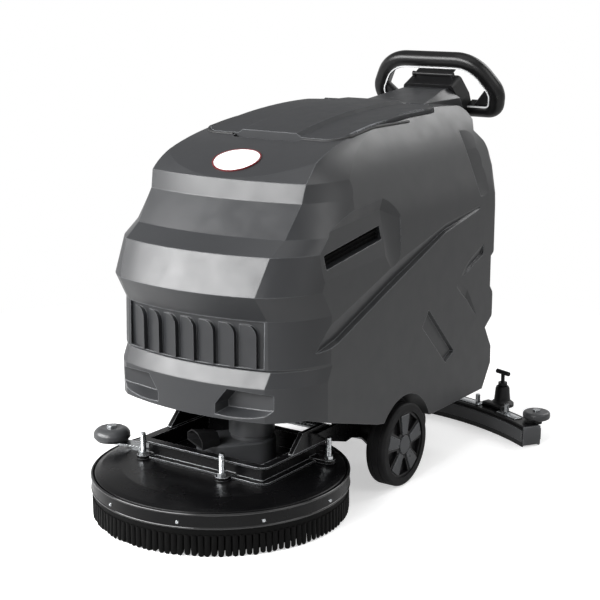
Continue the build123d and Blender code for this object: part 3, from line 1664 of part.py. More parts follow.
with BuildPart() as handle_grip:
    with BuildSketch(grip_start):
        Circle(grip_radius)
        with Locations((0, -grip_flat)):
            Rectangle(3 * grip_radius, grip_radius, align=(Align.CENTER, Align.MAX), mode=Mode.SUBTRACT)
    sweep(path=loop_path)
save(handle_grip, "handle_grip")

with BuildPart() as handle_frame:
    with BuildSketch(grip_start):
        with Locations((0, -grip_flat - skin_gap)):
            Rectangle(strip_width, strip_thickness, align=(Align.CENTER, Align.MAX))
    sweep(path=loop_path)
save(handle_frame, "handle_frame")

with BuildPart() as handle_trim:
    with BuildSketch(grip_start):
        with Locations((strip_width / 2 + skin_gap, -grip_flat - skin_gap)):
            Rectangle(bead_size, bead_size, align=(Align.MIN, Align.MAX))
    sweep(path=loop_path)
save(handle_trim, "handle_trim")


def make_lever(side, name):
    # Lever on the rear wall: a boss, a tapered arm and a ball knob
    with BuildPart() as lever:
        with BuildSketch(Plane.YZ.offset(side * lever_x)):
            with Locations((lever_y, lever_z)):
                Circle(lever_boss_radius)
        extrude(amount=lever_width / 2, both=True)
        with BuildSketch(Plane.YZ.offset(side * lever_x)):
            Polygon(
                (lever_y - 9, lever_z),
                (lever_y + 9, lever_z),
                (lever_y + lever_rake + 6, lever_z - lever_length),
                (lever_y + lever_rake - 6, lever_z - lever_length),
                align=None,
            )
        extrude(amount=lever_width / 3, both=True)
        with Locations((side * lever_x, lever_y + lever_rake, lever_z - lever_length)):
            Sphere(lever_knob_radius)
        with BuildSketch(Plane.YZ.offset(side * lever_x)):
            with Locations((lever_y, lever_z)):
                Circle(lever_pin_radius + running_gap)
        extrude(amount=lever_width, both=True, mode=Mode.SUBTRACT)
    save(lever, name)


make_lever(1, "deck_lever")
make_lever(-1, "squeegee_lever")
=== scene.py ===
import math
import random

import bmesh
import bpy
from mathutils import Matrix, Vector
from mathutils.bvhtree import BVHTree


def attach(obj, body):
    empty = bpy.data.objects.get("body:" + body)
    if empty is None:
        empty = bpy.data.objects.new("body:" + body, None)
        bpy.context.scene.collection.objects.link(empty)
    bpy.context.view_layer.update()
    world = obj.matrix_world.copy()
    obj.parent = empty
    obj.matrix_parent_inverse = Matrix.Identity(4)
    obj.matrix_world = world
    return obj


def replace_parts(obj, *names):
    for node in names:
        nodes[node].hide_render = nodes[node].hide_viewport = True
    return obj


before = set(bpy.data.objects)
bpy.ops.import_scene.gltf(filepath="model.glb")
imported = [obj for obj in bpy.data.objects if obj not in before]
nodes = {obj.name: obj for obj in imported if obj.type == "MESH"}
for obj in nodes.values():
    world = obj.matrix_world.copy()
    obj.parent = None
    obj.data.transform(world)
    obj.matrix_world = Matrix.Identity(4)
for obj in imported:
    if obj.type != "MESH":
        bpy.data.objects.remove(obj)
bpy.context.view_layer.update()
scene = bpy.context.scene
mm = 0.001
up = Vector((0, 0, 1))
print("frame loaded:", len(nodes), "nodes")


def hexColour(code):
    # sRGB hex to the linear colour that a shader takes
    parts = [int(code[i : i + 2], 16) / 255 for i in (1, 3, 5)]
    return [p / 12.92 if p <= 0.04045 else ((p + 0.055) / 1.055) ** 2.4 for p in parts] + [1.0]


def addNode(tree, kind, settings=None, links=None):
    node = tree.nodes.new(kind)
    for key, value in (settings or {}).items():
        if isinstance(key, int) or key in node.inputs:
            node.inputs[key].default_value = value
        else:
            setattr(node, key, value)
    for key, source in (links or {}).items():
        tree.links.new(source, node.inputs[key])
    return node


def startMaterial(name):
    material = bpy.data.materials.new(name)
    material.use_nodes = True
    tree = material.node_tree
    tree.nodes.clear()
    place = addNode(tree, "ShaderNodeTexCoord")
    return material, tree, place.outputs["Object"]


def finishMaterial(tree, shader):
    addNode(tree, "ShaderNodeOutputMaterial", {}, {"Surface": shader.outputs["BSDF"]})


# What the moulded finishes share: the detail of each pattern, how far an edge turns before its colour starts
# to pale and where it is palest (wear together with a painted highlight), how the roughness wanders with the
# smears, and the depth of the grain in millimetres
surface = {"detail": {"cloud": 3.0, "grain": 2.0, "smear": 4.0}, "edgeSamples": 4, "wearAndHighlightFrom": 0.985,
           "wearAndHighlightFull": 0.80, "smearFrom": 0.3, "smearTo": 0.7, "smoother": 0.04, "rougher": 0.05,
           "depth": 0.2}


def mouldedFinish(name, look):
    # Moulded and painted parts: a base colour that clouds a little, a fine grain in the surface,
    # roughness that wanders, and edges that are rounded in their shading and painted paler, partly as rubbed
    # wear and partly as a painted highlight.
    # The sizes of cloud, grain, smear and edge are in millimetres
    material, tree, place = startMaterial(name)
    cloud, grain, smear = [
        addNode(
            tree, "ShaderNodeTexNoise", {"Scale": 1 / (look[key] * mm), "Detail": detail}, {"Vector": place})
        for key, detail in surface["detail"].items()]
    colours = addNode(
        tree, "ShaderNodeMix",
        {"data_type": "RGBA", 6: hexColour(look["dark"]), 7: hexColour(look["light"])},
        {0: cloud.outputs["Fac"]},
    )
    rounded = addNode(
        tree, "ShaderNodeBevel", {"samples": surface["edgeSamples"], "Radius": look["edge"] * mm})
    shape = addNode(tree, "ShaderNodeNewGeometry")
    turn = addNode(
        tree, "ShaderNodeVectorMath", {"operation": "DOT_PRODUCT"},
        {0: rounded.outputs["Normal"], 1: shape.outputs["True Normal"]},
    )
    # Painted highlight mixed with wear: the colour pales where the rounded normal turns away from the true
    # one, so every edge draws a light line
    wearAndHighlight = addNode(
        tree, "ShaderNodeMapRange",
        {"From Min": surface["wearAndHighlightFrom"], "From Max": surface["wearAndHighlightFull"], "To Max": look["wearAndHighlight"]},
        {"Value": turn.outputs["Value"]},
    )
    wornAndHighlit = addNode(
        tree, "ShaderNodeMix", {"data_type": "RGBA", 7: hexColour(look["rubbedAndHighlit"])},
        {0: wearAndHighlight.outputs["Result"], 6: colours.outputs[2]},
    )
    rough = addNode(
        tree, "ShaderNodeMapRange",
        {
            "From Min": surface["smearFrom"],
            "From Max": surface["smearTo"],
            "To Min": look["rough"] - surface["smoother"],
            "To Max": look["rough"] + surface["rougher"],
        },
        {"Value": smear.outputs["Fac"]},
    )
    bump = addNode(
        tree, "ShaderNodeBump", {"Strength": look["relief"], "Distance": surface["depth"] * mm},
        {"Height": grain.outputs["Fac"], "Normal": rounded.outputs["Normal"]},
    )
    shader = addNode(
        tree, "ShaderNodeBsdfPrincipled", {"IOR": look["ior"], "Metallic": look.get("metal", 0.0)},
        {
            "Base Color": wornAndHighlit.outputs[2],
            "Roughness": rough.outputs["Result"],
            "Normal": bump.outputs["Normal"],
        },
    )
    finishMaterial(tree, shader)
    return material


# Rotomoulded polyethylene: thick satin dark grey with broad soft reflections and a faint orange peel
bodyPolyethylene = mouldedFinish("satinPolyethylene", {
    "dark": "#27282a", "light": "#2c2d2f", "rubbedAndHighlit": "#85878a", "cloud": 160, "grain": 1.6, "smear": 45,
    "rough": 0.35, "relief": 0.08, "ior": 1.52, "edge": 3.2, "wearAndHighlight": 0.8})
# The lid's sheet of the same stock: blasted in the mould, so its shine is wider and weaker
lidPolyethylene = mouldedFinish("mattPolyethylene", {
    "dark": "#27282a", "light": "#2c2d2f", "rubbedAndHighlit": "#85878a", "cloud": 160, "grain": 1.4, "smear": 40,
    "rough": 0.62, "relief": 0.12, "ior": 1.36, "edge": 2.6, "wearAndHighlight": 0.8})
# Moulded ABS of the louvres: a shade darker than the body, a little tighter in its shine
grilleAbs = mouldedFinish("grilleAbs", {
    "dark": "#1f2022", "light": "#252628", "rubbedAndHighlit": "#8a8c8f", "cloud": 90, "grain": 1.2, "smear": 30,
    "rough": 0.34, "relief": 0.08, "ior": 1.52, "edge": 1.4, "wearAndHighlight": 0.6})
# Glass-filled nylon: black with a spark-eroded grain, duller than the paint
blackNylon = mouldedFinish("blackNylon", {
    "dark": "#0c0c0d", "light": "#131314", "rubbedAndHighlit": "#3c3d3f", "cloud": 60, "grain": 0.9, "smear": 22,
    "rough": 0.42, "relief": 0.25, "ior": 1.36, "edge": 0.9, "wearAndHighlight": 0.5})
# Foam-backed mesh behind the flank slots: black that hardly answers the light
ventFoam = mouldedFinish("ventFoam", {
    "dark": "#030303", "light": "#070707", "rubbedAndHighlit": "#0c0c0c", "cloud": 20, "grain": 1.5, "smear": 10,
    "rough": 0.85, "relief": 0.4, "ior": 1.2, "edge": 0.4, "wearAndHighlight": 0.1})
# Powder coat on steel: deep black gloss with a faint orange peel about 3 mm across
blackPowderCoat = mouldedFinish("blackPowderCoat", {
    "dark": "#070708", "light": "#0b0b0c", "rubbedAndHighlit": "#5a5c5f", "cloud": 120, "grain": 3.2, "smear": 60,
    "rough": 0.25, "relief": 0.03, "ior": 1.28, "edge": 1.6, "wearAndHighlight": 0.7})
# Steel of the squeegee's straps: thinner paint that reads dark grey, with a pale colour along its edges that
# is partly wear and partly a painted highlight
strapSteel = mouldedFinish("paintedStrap", {
    "dark": "#434446", "light": "#4c4d4f", "rubbedAndHighlit": "#c3c6c9", "cloud": 50, "grain": 2.0, "smear": 25,
    "rough": 0.36, "relief": 0.05, "ior": 1.5, "edge": 0.9, "wearAndHighlight": 0.9})
# Powder coat of the deck frame: the same black, with a bright steel colour along the flanges that is partly
# paint rubbed through and partly a painted highlight
wornHighlitPowderCoat = mouldedFinish("wornHighlitPowderCoat", {
    "dark": "#0a0a0b", "light": "#101011", "rubbedAndHighlit": "#d0d3d6", "cloud": 60, "grain": 3.0, "smear": 30,
    "rough": 0.25, "relief": 0.03, "ior": 1.3, "edge": 2.0, "wearAndHighlight": 1.0})
# Satin enamel of the brush motor and its gear case: dark grey that shows their round forms
motorEnamel = mouldedFinish("motorEnamel", {
    "dark": "#3c3d3f", "light": "#454648", "rubbedAndHighlit": "#7c7e81", "cloud": 60, "grain": 2.4, "smear": 30,
    "rough": 0.4, "relief": 0.05, "ior": 1.5, "edge": 1.8, "wearAndHighlight": 0.6})
# Black lacquer of the rolled lips: tight gloss, so that they draw a bright line
lipLacquer = mouldedFinish("lipLacquer", {
    "dark": "#131314", "light": "#19191a", "rubbedAndHighlit": "#707274", "cloud": 60, "grain": 3.0, "smear": 30,
    "rough": 0.16, "relief": 0.02, "ior": 1.6, "edge": 0.5, "wearAndHighlight": 0.2})
# Polyurethane skin of the grip: soft black with a broad sheen
gripPolyurethane = mouldedFinish("gripPolyurethane", {
    "dark": "#090909", "light": "#0f0f10", "rubbedAndHighlit": "#2c2d2e", "cloud": 70, "grain": 1.1, "smear": 26,
    "rough": 0.3, "relief": 0.15, "ior": 1.4, "edge": 1.8, "wearAndHighlight": 0.4})
# Harder polyurethane of the guide rollers: dark grey with a paler rim that is partly scuffs and partly a
# painted highlight
rollerPolyurethane = mouldedFinish("rollerPolyurethane", {
    "dark": "#38393a", "light": "#434446", "rubbedAndHighlit": "#85878a", "cloud": 24, "grain": 1.0, "smear": 14,
    "rough": 0.34, "relief": 0.15, "ior": 1.5, "edge": 1.6, "wearAndHighlight": 0.6})
# Gum rubber of blades and small wheels: matt black, greyed by dust
bladeRubber = mouldedFinish("gumRubber", {
    "dark": "#121213", "light": "#1d1d1e", "rubbedAndHighlit": "#3a3a3b", "cloud": 40, "grain": 0.8, "smear": 18,
    "rough": 0.58, "relief": 0.3, "ior": 1.5, "edge": 0.8, "wearAndHighlight": 0.4})
# Tyre rubber: matt, with a bloom that lightens it in patches
tyreRubber = mouldedFinish("tyreRubber", {
    "dark": "#0c0c0d", "light": "#171718", "rubbedAndHighlit": "#333435", "cloud": 35, "grain": 0.9, "smear": 15,
    "rough": 0.62, "relief": 0.4, "ior": 1.3, "edge": 1.6, "wearAndHighlight": 0.5})
# Polypropylene of the wheel's face: near black, so that the trims stand out on it
hubPolypropylene = mouldedFinish("hubPolypropylene", {
    "dark": "#161617", "light": "#1c1c1d", "rubbedAndHighlit": "#55575a", "cloud": 50, "grain": 1.0, "smear": 20,
    "rough": 0.4, "relief": 0.15, "ior": 1.36, "edge": 1.0, "wearAndHighlight": 0.6})
# Grey lacquer on the spoke trims: satin, with pale edges that draw each spoke, partly rubbed and partly a
# painted highlight
trimLacquer = mouldedFinish("trimLacquer", {
    "dark": "#3f4144", "light": "#4a4c4f", "rubbedAndHighlit": "#c9cbce", "cloud": 40, "grain": 0.7, "smear": 18,
    "rough": 0.3, "relief": 0.08, "ior": 1.4, "edge": 0.9, "wearAndHighlight": 0.7})
# Extruded PVC of the loop's bead: pale grey, an even line with a soft shine
beadVinyl = mouldedFinish("beadVinyl", {
    "dark": "#cfd0d1", "light": "#dedfe0", "rubbedAndHighlit": "#f2f2f2", "cloud": 30, "grain": 0.8, "smear": 15,
    "rough": 0.34, "relief": 0.08, "ior": 1.53, "edge": 0.6, "wearAndHighlight": 0.5})
# Natural polyethylene: milky, waxy tank walls
tankPolyethylene = mouldedFinish("naturalPolyethylene", {
    "dark": "#b9b6aa", "light": "#c9c6bb", "rubbedAndHighlit": "#e2e0d8", "cloud": 110, "grain": 1.6, "smear": 30,
    "rough": 0.42, "relief": 0.15, "ior": 1.5, "edge": 1.4, "wearAndHighlight": 0.4})
# Bright zinc plating: cool silver with a slightly cloudy passivated film
zincPlate = mouldedFinish("zincPlate", {
    "dark": "#b4b7ba", "light": "#ced1d3", "rubbedAndHighlit": "#eceeef", "cloud": 14, "grain": 0.6, "smear": 8,
    "rough": 0.26, "relief": 0.12, "ior": 1.5, "edge": 0.5, "wearAndHighlight": 0.5, "metal": 1.0})
# Polycarbonate caps of the two switches: clean colour under a smooth shine
greenCap = mouldedFinish("greenPolycarbonate", {
    "dark": "#1c7a33", "light": "#22893b", "rubbedAndHighlit": "#57b06c", "cloud": 10, "grain": 0.7, "smear": 6,
    "rough": 0.28, "relief": 0.08, "ior": 1.58, "edge": 0.8, "wearAndHighlight": 0.5})
blueCap = mouldedFinish("bluePolycarbonate", {
    "dark": "#1b4d94", "light": "#2158a6", "rubbedAndHighlit": "#5f8fd0", "cloud": 10, "grain": 0.7, "smear": 6,
    "rough": 0.28, "relief": 0.08, "ior": 1.58, "edge": 0.8, "wearAndHighlight": 0.5})
# Smoked acrylic of the display: nearly black and very smooth
smokedAcrylic = mouldedFinish("smokedAcrylic", {
    "dark": "#0c1112", "light": "#10171a", "rubbedAndHighlit": "#3b4448", "cloud": 20, "grain": 2.5, "smear": 14,
    "rough": 0.1, "relief": 0.03, "ior": 1.49, "edge": 0.5, "wearAndHighlight": 0.4})
# Stove enamel of the bare oval plate, and of its rim: smooth and glossy, hardly marked
whiteEnamel = mouldedFinish("whiteEnamel", {
    "dark": "#e6e6e6", "light": "#f0f0f0", "rubbedAndHighlit": "#ffffff", "cloud": 30, "grain": 1.5, "smear": 14,
    "rough": 0.24, "relief": 0.05, "ior": 1.5, "edge": 0.4, "wearAndHighlight": 0.3})
redEnamel = mouldedFinish("darkRedEnamel", {
    "dark": "#5c1a1d", "light": "#6b2226", "rubbedAndHighlit": "#8e4a4d", "cloud": 20, "grain": 1.5, "smear": 14,
    "rough": 0.28, "relief": 0.05, "ior": 1.5, "edge": 0.4, "wearAndHighlight": 0.3})
# Screen-printed ink of the panel's marks: pale and flat, with little shine
paleInk = mouldedFinish("paleInk", {
    "dark": "#c9cbcc", "light": "#d6d8d9", "rubbedAndHighlit": "#e6e7e8", "cloud": 12, "grain": 0.6, "smear": 6,
    "rough": 0.45, "relief": 0.05, "ior": 1.5, "edge": 0.1, "wearAndHighlight": 0.1})


# Extruded nylon filament: black and matt, with fine streaks along the strands, which are drawn a little
# coarser than real ones so that they show
bristle = {"dark": "#020202", "light": "#090909", "strand": 0.9, "detail": 2.0, "stretch": 0.04,
           "relief": 0.7, "depth": 0.5, "smoothest": 0.45, "roughest": 0.62, "ior": 1.18}


def bristleFinish():
    material, tree, place = startMaterial("bristleNylon")
    stretch = addNode(tree, "ShaderNodeMapping", {"Scale": (1.0, 1.0, bristle["stretch"])}, {"Vector": place})
    strands = addNode(
        tree, "ShaderNodeTexNoise", {"Scale": 1 / (bristle["strand"] * mm), "Detail": bristle["detail"]},
        {"Vector": stretch.outputs[0]})
    colours = addNode(
        tree, "ShaderNodeMix",
        {"data_type": "RGBA", 6: hexColour(bristle["dark"]), 7: hexColour(bristle["light"])},
        {0: strands.outputs["Fac"]})
    bump = addNode(
        tree, "ShaderNodeBump", {"Strength": bristle["relief"], "Distance": bristle["depth"] * mm},
        {"Height": strands.outputs["Fac"]})
    rough = addNode(
        tree, "ShaderNodeMapRange",
        {
            "From Min": surface["smearFrom"],
            "From Max": surface["smearTo"],
            "To Min": bristle["smoothest"],
            "To Max": bristle["roughest"],
        },
        {"Value": strands.outputs["Fac"]})
    shader = addNode(
        tree, "ShaderNodeBsdfPrincipled", {"IOR": bristle["ior"]},
        {"Base Color": colours.outputs[2], "Roughness": rough.outputs[0], "Normal": bump.outputs["Normal"]})
    finishMaterial(tree, shader)
    return material


bristleNylon = bristleFinish()

finishes = {
    bodyPolyethylene: ["main_housing"],
    lidPolyethylene: ["lid"],
    grilleAbs: ["front_grille"],
    blackNylon: [
        "console_body", "control_panel", "flow_knob", "start_lever", "key", "deck_lever",
        "squeegee_lever", "motor_cowl", "pressure_knob_left", "pressure_knob_right", "vacuum_motor",
        "suction_spigot", "brush_disc", "batteries", "filter_basket"],
    blackPowderCoat: [
        "deck_cover", "skirt_band", "squeegee_frame",
        "chassis_frame", "caster_fork_left", "caster_fork_right", "squeegee_arm", "handle_frame"],
    wornHighlitPowderCoat: ["deck_frame"],
    motorEnamel: ["gearbox", "brush_motor"],
    ventFoam: ["vent_inserts"],
    strapSteel: ["blade_straps"],
    gripPolyurethane: ["handle_grip", "lid_seal"],
    rollerPolyurethane: ["guide_roller", "end_roller_left", "end_roller_right"],
    bladeRubber: ["front_blade", "rear_blade", "splash_skirt", "caster_wheel_left", "caster_wheel_right"],
    bristleNylon: ["brush_bristles"],
    tyreRubber: ["tyre_left", "tyre_right"],
    hubPolypropylene: ["wheel_hub_left", "wheel_hub_right"],
    trimLacquer: ["wheel_trims_left", "wheel_trims_right"],
    beadVinyl: ["handle_trim"],
    tankPolyethylene: ["recovery_tank", "solution_tank"],
    zincPlate: ["deck_studs", "squeegee_fixings", "hinge_pins", "axle_shaft", "roller_bracket"],
    greenCap: ["brush_button"],
    blueCap: ["vacuum_button"],
    smokedAcrylic: ["display_lens"],
}
for material, names in finishes.items():
    for name in names:
        nodes[name].data.materials.clear()
        nodes[name].data.materials.append(material)
print("finishes set:", len(finishes), "on", sum(len(names) for names in finishes.values()), "nodes")


def makePiece(name, bm, material, body, sharp=35):
    # One object at the origin, with its place in its mesh
    bmesh.ops.recalc_face_normals(bm, faces=bm.faces[:])
    mesh = bpy.data.meshes.new(name)
    bm.to_mesh(mesh)
    bm.free()
    mesh.materials.append(material)
    mesh.shade_smooth()
    mesh.set_sharp_from_angle(angle=math.radians(sharp))
    piece = bpy.data.objects.new(name, mesh)
    scene.collection.objects.link(piece)
    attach(piece, body)
    return piece


def turnRing(bm, section, centre, steps):
    # A closed section of (radius, height) points, turned once round the upright line through the centre
    ring = [bm.verts.new(Vector((radius, 0, height)) * mm + centre) for radius, height in section]
    edges = [bm.edges.new((ring[i], ring[i - 1])) for i in range(len(ring))]
    bmesh.ops.spin(
        bm, geom=ring + edges, cent=centre, axis=up, angle=2 * math.pi, steps=steps, use_merge=True)


housingTree = BVHTree.FromObject(nodes["main_housing"], bpy.context.evaluated_depsgraph_get())
rayHeight = 2000  # well above the machine


def housingTop(x, y):
    return housingTree.ray_cast(Vector((x, y, rayHeight)) * mm, -up)[0]


# Bare oval plate on the hood, bent to the surface that it sits on, and the rim round it
badge = {"centre": (3, -291), "half": (58, 42), "segments": 72, "rings": 7, "thickness": 1.6, "lift": 0.3,
         "liftWay": (0, -0.4, 0.92), "rim": 0.06, "rimGrow": 1.5, "rimProud": 0.6}


def ovalPlate(name, grow, rimWidth, thickness, material):
    bm = bmesh.new()
    bmesh.ops.create_circle(bm, cap_ends=True, segments=badge["segments"], radius=1.0)
    middle = bm.faces[:]
    if rimWidth:
        bmesh.ops.inset_individual(bm, faces=middle, thickness=rimWidth)
        bmesh.ops.delete(bm, geom=middle, context="FACES_ONLY")
    else:
        for _ in range(badge["rings"]):
            bmesh.ops.inset_individual(bm, faces=middle, thickness=1 / (badge["rings"] + 1))
        bmesh.ops.poke(bm, faces=middle)
    lift = Vector(badge["liftWay"]) * badge["lift"] * mm
    for vert in bm.verts:
        x, y = [badge["centre"][i] + (badge["half"][i] + grow) * vert.co[i] for i in (0, 1)]
        vert.co = housingTop(x, y) + lift
    bmesh.ops.recalc_face_normals(bm, faces=bm.faces[:])
    bmesh.ops.solidify(bm, geom=bm.faces[:], thickness=-thickness * mm)
    makePiece(name, bm, material, "body", sharp=50)


ovalPlate("badgePlate", 0, 0, badge["thickness"], whiteEnamel)
ovalPlate("badgeRim", badge["rimGrow"], badge["rim"], badge["thickness"] + badge["rimProud"], redEnamel)
print("oval plate made")

# Black rod along the lid's sides and front corners, half sunk in the housing, clear of the finger notch:
# painted shade, a dark line that stands for the shadow in the gap under the lid's edge
shadowRod = {"half": 190, "front": -166, "rear": 120, "corner": 45, "inner": 98, "away": 4.4, "radius": 3.4,
          "sink": 0.4, "segments": 10, "sideSteps": 24, "cornerSteps": 12, "frontSteps": 4}


def shadowRodPath(side):
    # Along the lid's side, round its front corner and a little way across, on the housing
    half, corner = shadowRod["half"] + shadowRod["away"], shadowRod["corner"] + shadowRod["away"]
    cornerX, cornerY = half - corner, shadowRod["front"] + shadowRod["corner"]
    sideRun, frontRun = cornerY - shadowRod["rear"], shadowRod["inner"] - cornerX
    steps = shadowRod["sideSteps"]
    flat = [(half, shadowRod["rear"] + sideRun * number / steps) for number in range(steps)]
    for number in range(shadowRod["cornerSteps"] + 1):
        turn = math.pi / 2 * number / shadowRod["cornerSteps"]
        flat.append((cornerX + corner * math.cos(turn), cornerY - corner * math.sin(turn)))
    steps = shadowRod["frontSteps"]
    flat += [(cornerX + frontRun * number / steps, cornerY - corner) for number in range(1, steps + 1)]
    return [housingTop(side * x, y) - up * shadowRod["sink"] * mm for x, y in flat]


bm = bmesh.new()
for side in (1, -1):
    route = shadowRodPath(side)
    ring = bmesh.ops.create_circle(
        bm, cap_ends=True, segments=shadowRod["segments"], radius=shadowRod["radius"] * mm)["verts"]
    along = (route[1] - route[0]).normalized()
    bmesh.ops.rotate(bm, cent=(0, 0, 0), matrix=up.rotation_difference(along).to_matrix(), verts=ring)
    bmesh.ops.translate(bm, vec=route[0], verts=ring)
    face = ring[0].link_faces[0]
    for number in range(1, len(route)):
        face = bmesh.ops.extrude_discrete_faces(bm, faces=[face])["faces"][0]
        ahead = (route[min(number + 1, len(route) - 1)] - route[number - 1]).normalized()
        bmesh.ops.translate(bm, vec=route[number] - route[number - 1], verts=face.verts[:])
        turn = along.rotation_difference(ahead).to_matrix()
        bmesh.ops.rotate(bm, cent=route[number], matrix=turn, verts=face.verts[:])
        along = ahead
bmesh.ops.holes_fill(bm, edges=bm.edges[:], sides=shadowRod["segments"])
makePiece("lidShadowRod", bm, bladeRubber, "body", sharp=60)
print("lid gasket made")

# Skirt: two rows of nylon tufts under a collar, in place of the plain ring. Top, waist and tips are heights
# with the tuft's swell there
deckPlace = Vector((0, -357, 0)) * mm
skirt = {
    "radius": 285.8, "collarTop": 92, "collarFoot": 46, "collarWall": 3.6, "collarSteps": 96,
    "tufts": 124, "rows": (1.6, -2.2), "stagger": 0.1, "wide": 6.1, "deep": 2.6, "sides": 8,
    "top": (48, 0.94), "waist": (14, 1.06), "tips": ((3.5, 0.96), (0.6, 0.5)),
    "lean": (0.8, 1.3), "shortShare": 0.5, "ragged": 3.2, "seed": 7}


def addTuft(bm, matrix, rise):
    # A cone down to the waist, then two short steps that close in to the tip
    (high, highSwell), (low, swell) = skirt["top"], skirt["waist"]
    height = low + rise
    tuft = bmesh.ops.create_cone(
        bm, cap_ends=True, segments=skirt["sides"], radius1=swell, radius2=highSwell,
        depth=high - height)["verts"]
    bmesh.ops.translate(bm, vec=up * (high + height) / 2, verts=tuft)
    face = min((f for vert in tuft for f in vert.link_faces), key=lambda f: f.calc_center_median().z)
    for tip, tipSwell in skirt["tips"]:
        face = bmesh.ops.extrude_discrete_faces(bm, faces=[face])["faces"][0]
        bmesh.ops.translate(bm, vec=up * (tip + rise - height), verts=face.verts[:])
        bmesh.ops.scale(bm, vec=(tipSwell / swell, tipSwell / swell, 1), verts=face.verts[:])
        tuft += face.verts[:]
        height, swell = tip + rise, tipSwell
    bmesh.ops.transform(bm, matrix=matrix, verts=tuft)


def skirtTufts():
    bm = bmesh.new()
    chance = random.Random(skirt["seed"])
    for row, shift in enumerate(skirt["rows"]):
        for number in range(skirt["tufts"]):
            turn = Matrix.Rotation(2 * math.pi * (number + skirt["stagger"] * row) / skirt["tufts"], 4, "Z")
            lean = [chance.uniform(-1, 1) * reach for reach in skirt["lean"]]
            rise = chance.uniform(0, skirt["ragged"]) if chance.random() < skirt["shortShare"] else 0.0
            slant = Matrix.Shear("XY", 4, [-side / skirt["top"][0] for side in lean])
            place = Matrix.Translation((skirt["radius"] + shift + lean[0], lean[1], 0))
            size = Matrix.Diagonal((skirt["deep"], skirt["wide"], 1, 1))
            addTuft(bm, Matrix.Scale(mm, 4) @ turn @ place @ slant @ size, rise)
    inner, outer = [skirt["radius"] + side * skirt["collarWall"] / 2 for side in (-1, 1)]
    foot, crown = skirt["collarFoot"], skirt["collarTop"]
    section = ((inner, foot), (outer, foot), (outer, crown), (inner, crown))
    turnRing(bm, section, Vector(), skirt["collarSteps"])
    bmesh.ops.translate(bm, vec=deckPlace, verts=bm.verts[:])
    return makePiece("skirtTufts", bm, bristleNylon, "deck", sharp=50)


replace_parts(skirtTufts(), "splash_skirt")

# Tufts of the disc brush, in rings under its block; rings of odd radius start half a pitch on
brush = {"rings": (110, 131, 152, 173, 194, 215, 236, 250), "pitch": 15, "radius": 4.6, "height": 45.0,
         "flare": 1.25, "sides": 6, "ragged": 1.0, "seed": 11}


def brushTufts():
    bm = bmesh.new()
    chance = random.Random(brush["seed"])
    for ring in brush["rings"]:
        count = round(2 * math.pi * ring / brush["pitch"])
        for number in range(count):
            tuft = bmesh.ops.create_cone(
                bm, cap_ends=True, segments=brush["sides"], radius1=brush["radius"] * brush["flare"] * mm,
                radius2=brush["radius"] * mm, depth=brush["height"] * mm)["verts"]
            tips = [vert for vert in tuft if vert.co.z < 0]
            angle = 2 * math.pi * (number + 0.5 * (ring % 2)) / count
            place = Vector((ring * math.cos(angle), ring * math.sin(angle), brush["height"] / 2)) * mm
            bmesh.ops.translate(bm, vec=place + deckPlace, verts=tuft)
            bmesh.ops.translate(bm, vec=up * chance.uniform(0, brush["ragged"]) * mm, verts=tips)
    return makePiece("brushTufts", bm, bristleNylon, "brush", sharp=50)


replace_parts(brushTufts(), "brush_bristles")
print("tufts made")

# Rolled lips at the edges of the skirt band, which catch a line of light
bandLips = {"radius": 289.4, "heights": (64.2, 94.0), "round": 3.0, "segments": 12, "steps": 128}
turns = [2 * math.pi * number / bandLips["segments"] for number in range(bandLips["segments"])]
bm = bmesh.new()
for height in bandLips["heights"]:
    section = [
        (bandLips["radius"] + bandLips["round"] * math.cos(turn), height + bandLips["round"] * math.sin(turn))
        for turn in turns]
    turnRing(bm, section, deckPlace, bandLips["steps"])
makePiece("bandLips", bm, lipLacquer, "deck", sharp=60)

# Pan-head screws: a low tapered head with a round socket, turned to face the way that it points
panHead = {"segments": 18, "taper": 0.82, "socket": 0.42, "depth": 0.55}


def addScrew(bm, place, facing, radius, height):
    head = bmesh.ops.create_cone(
        bm, cap_ends=True, segments=panHead["segments"], radius1=radius * mm,
        radius2=radius * panHead["taper"] * mm, depth=height * mm)["verts"]
    top = max((face for vert in head for face in vert.link_faces), key=lambda f: f.calc_center_median().z)
    lip = radius * (panHead["taper"] - panHead["socket"])
    bmesh.ops.inset_individual(bm, faces=[top], thickness=lip * mm)
    rim = top.verts[:]
    sunk = bmesh.ops.extrude_discrete_faces(bm, faces=[top])["faces"][0].verts[:]
    bmesh.ops.translate(bm, vec=-up * height * panHead["depth"] * mm, verts=sunk)
    verts = head + rim + sunk
    bmesh.ops.rotate(bm, cent=(0, 0, 0), matrix=up.rotation_difference(facing).to_matrix(), verts=verts)
    bmesh.ops.translate(bm, vec=place + facing * height / 2 * mm, verts=verts)


bandScrews = {"count": 10, "first": 19.5, "radius": 291, "z": 76, "head": 4.2, "proud": 2.2}
bm = bmesh.new()
for number in range(bandScrews["count"]):
    angle = math.radians(bandScrews["first"] + 360 / bandScrews["count"] * number)
    facing = Vector((math.sin(angle), -math.cos(angle), 0))
    place = deckPlace + (facing * bandScrews["radius"] + up * bandScrews["z"]) * mm
    addScrew(bm, place, facing, bandScrews["head"], bandScrews["proud"])
makePiece("bandScrews", bm, zincPlate, "deck")

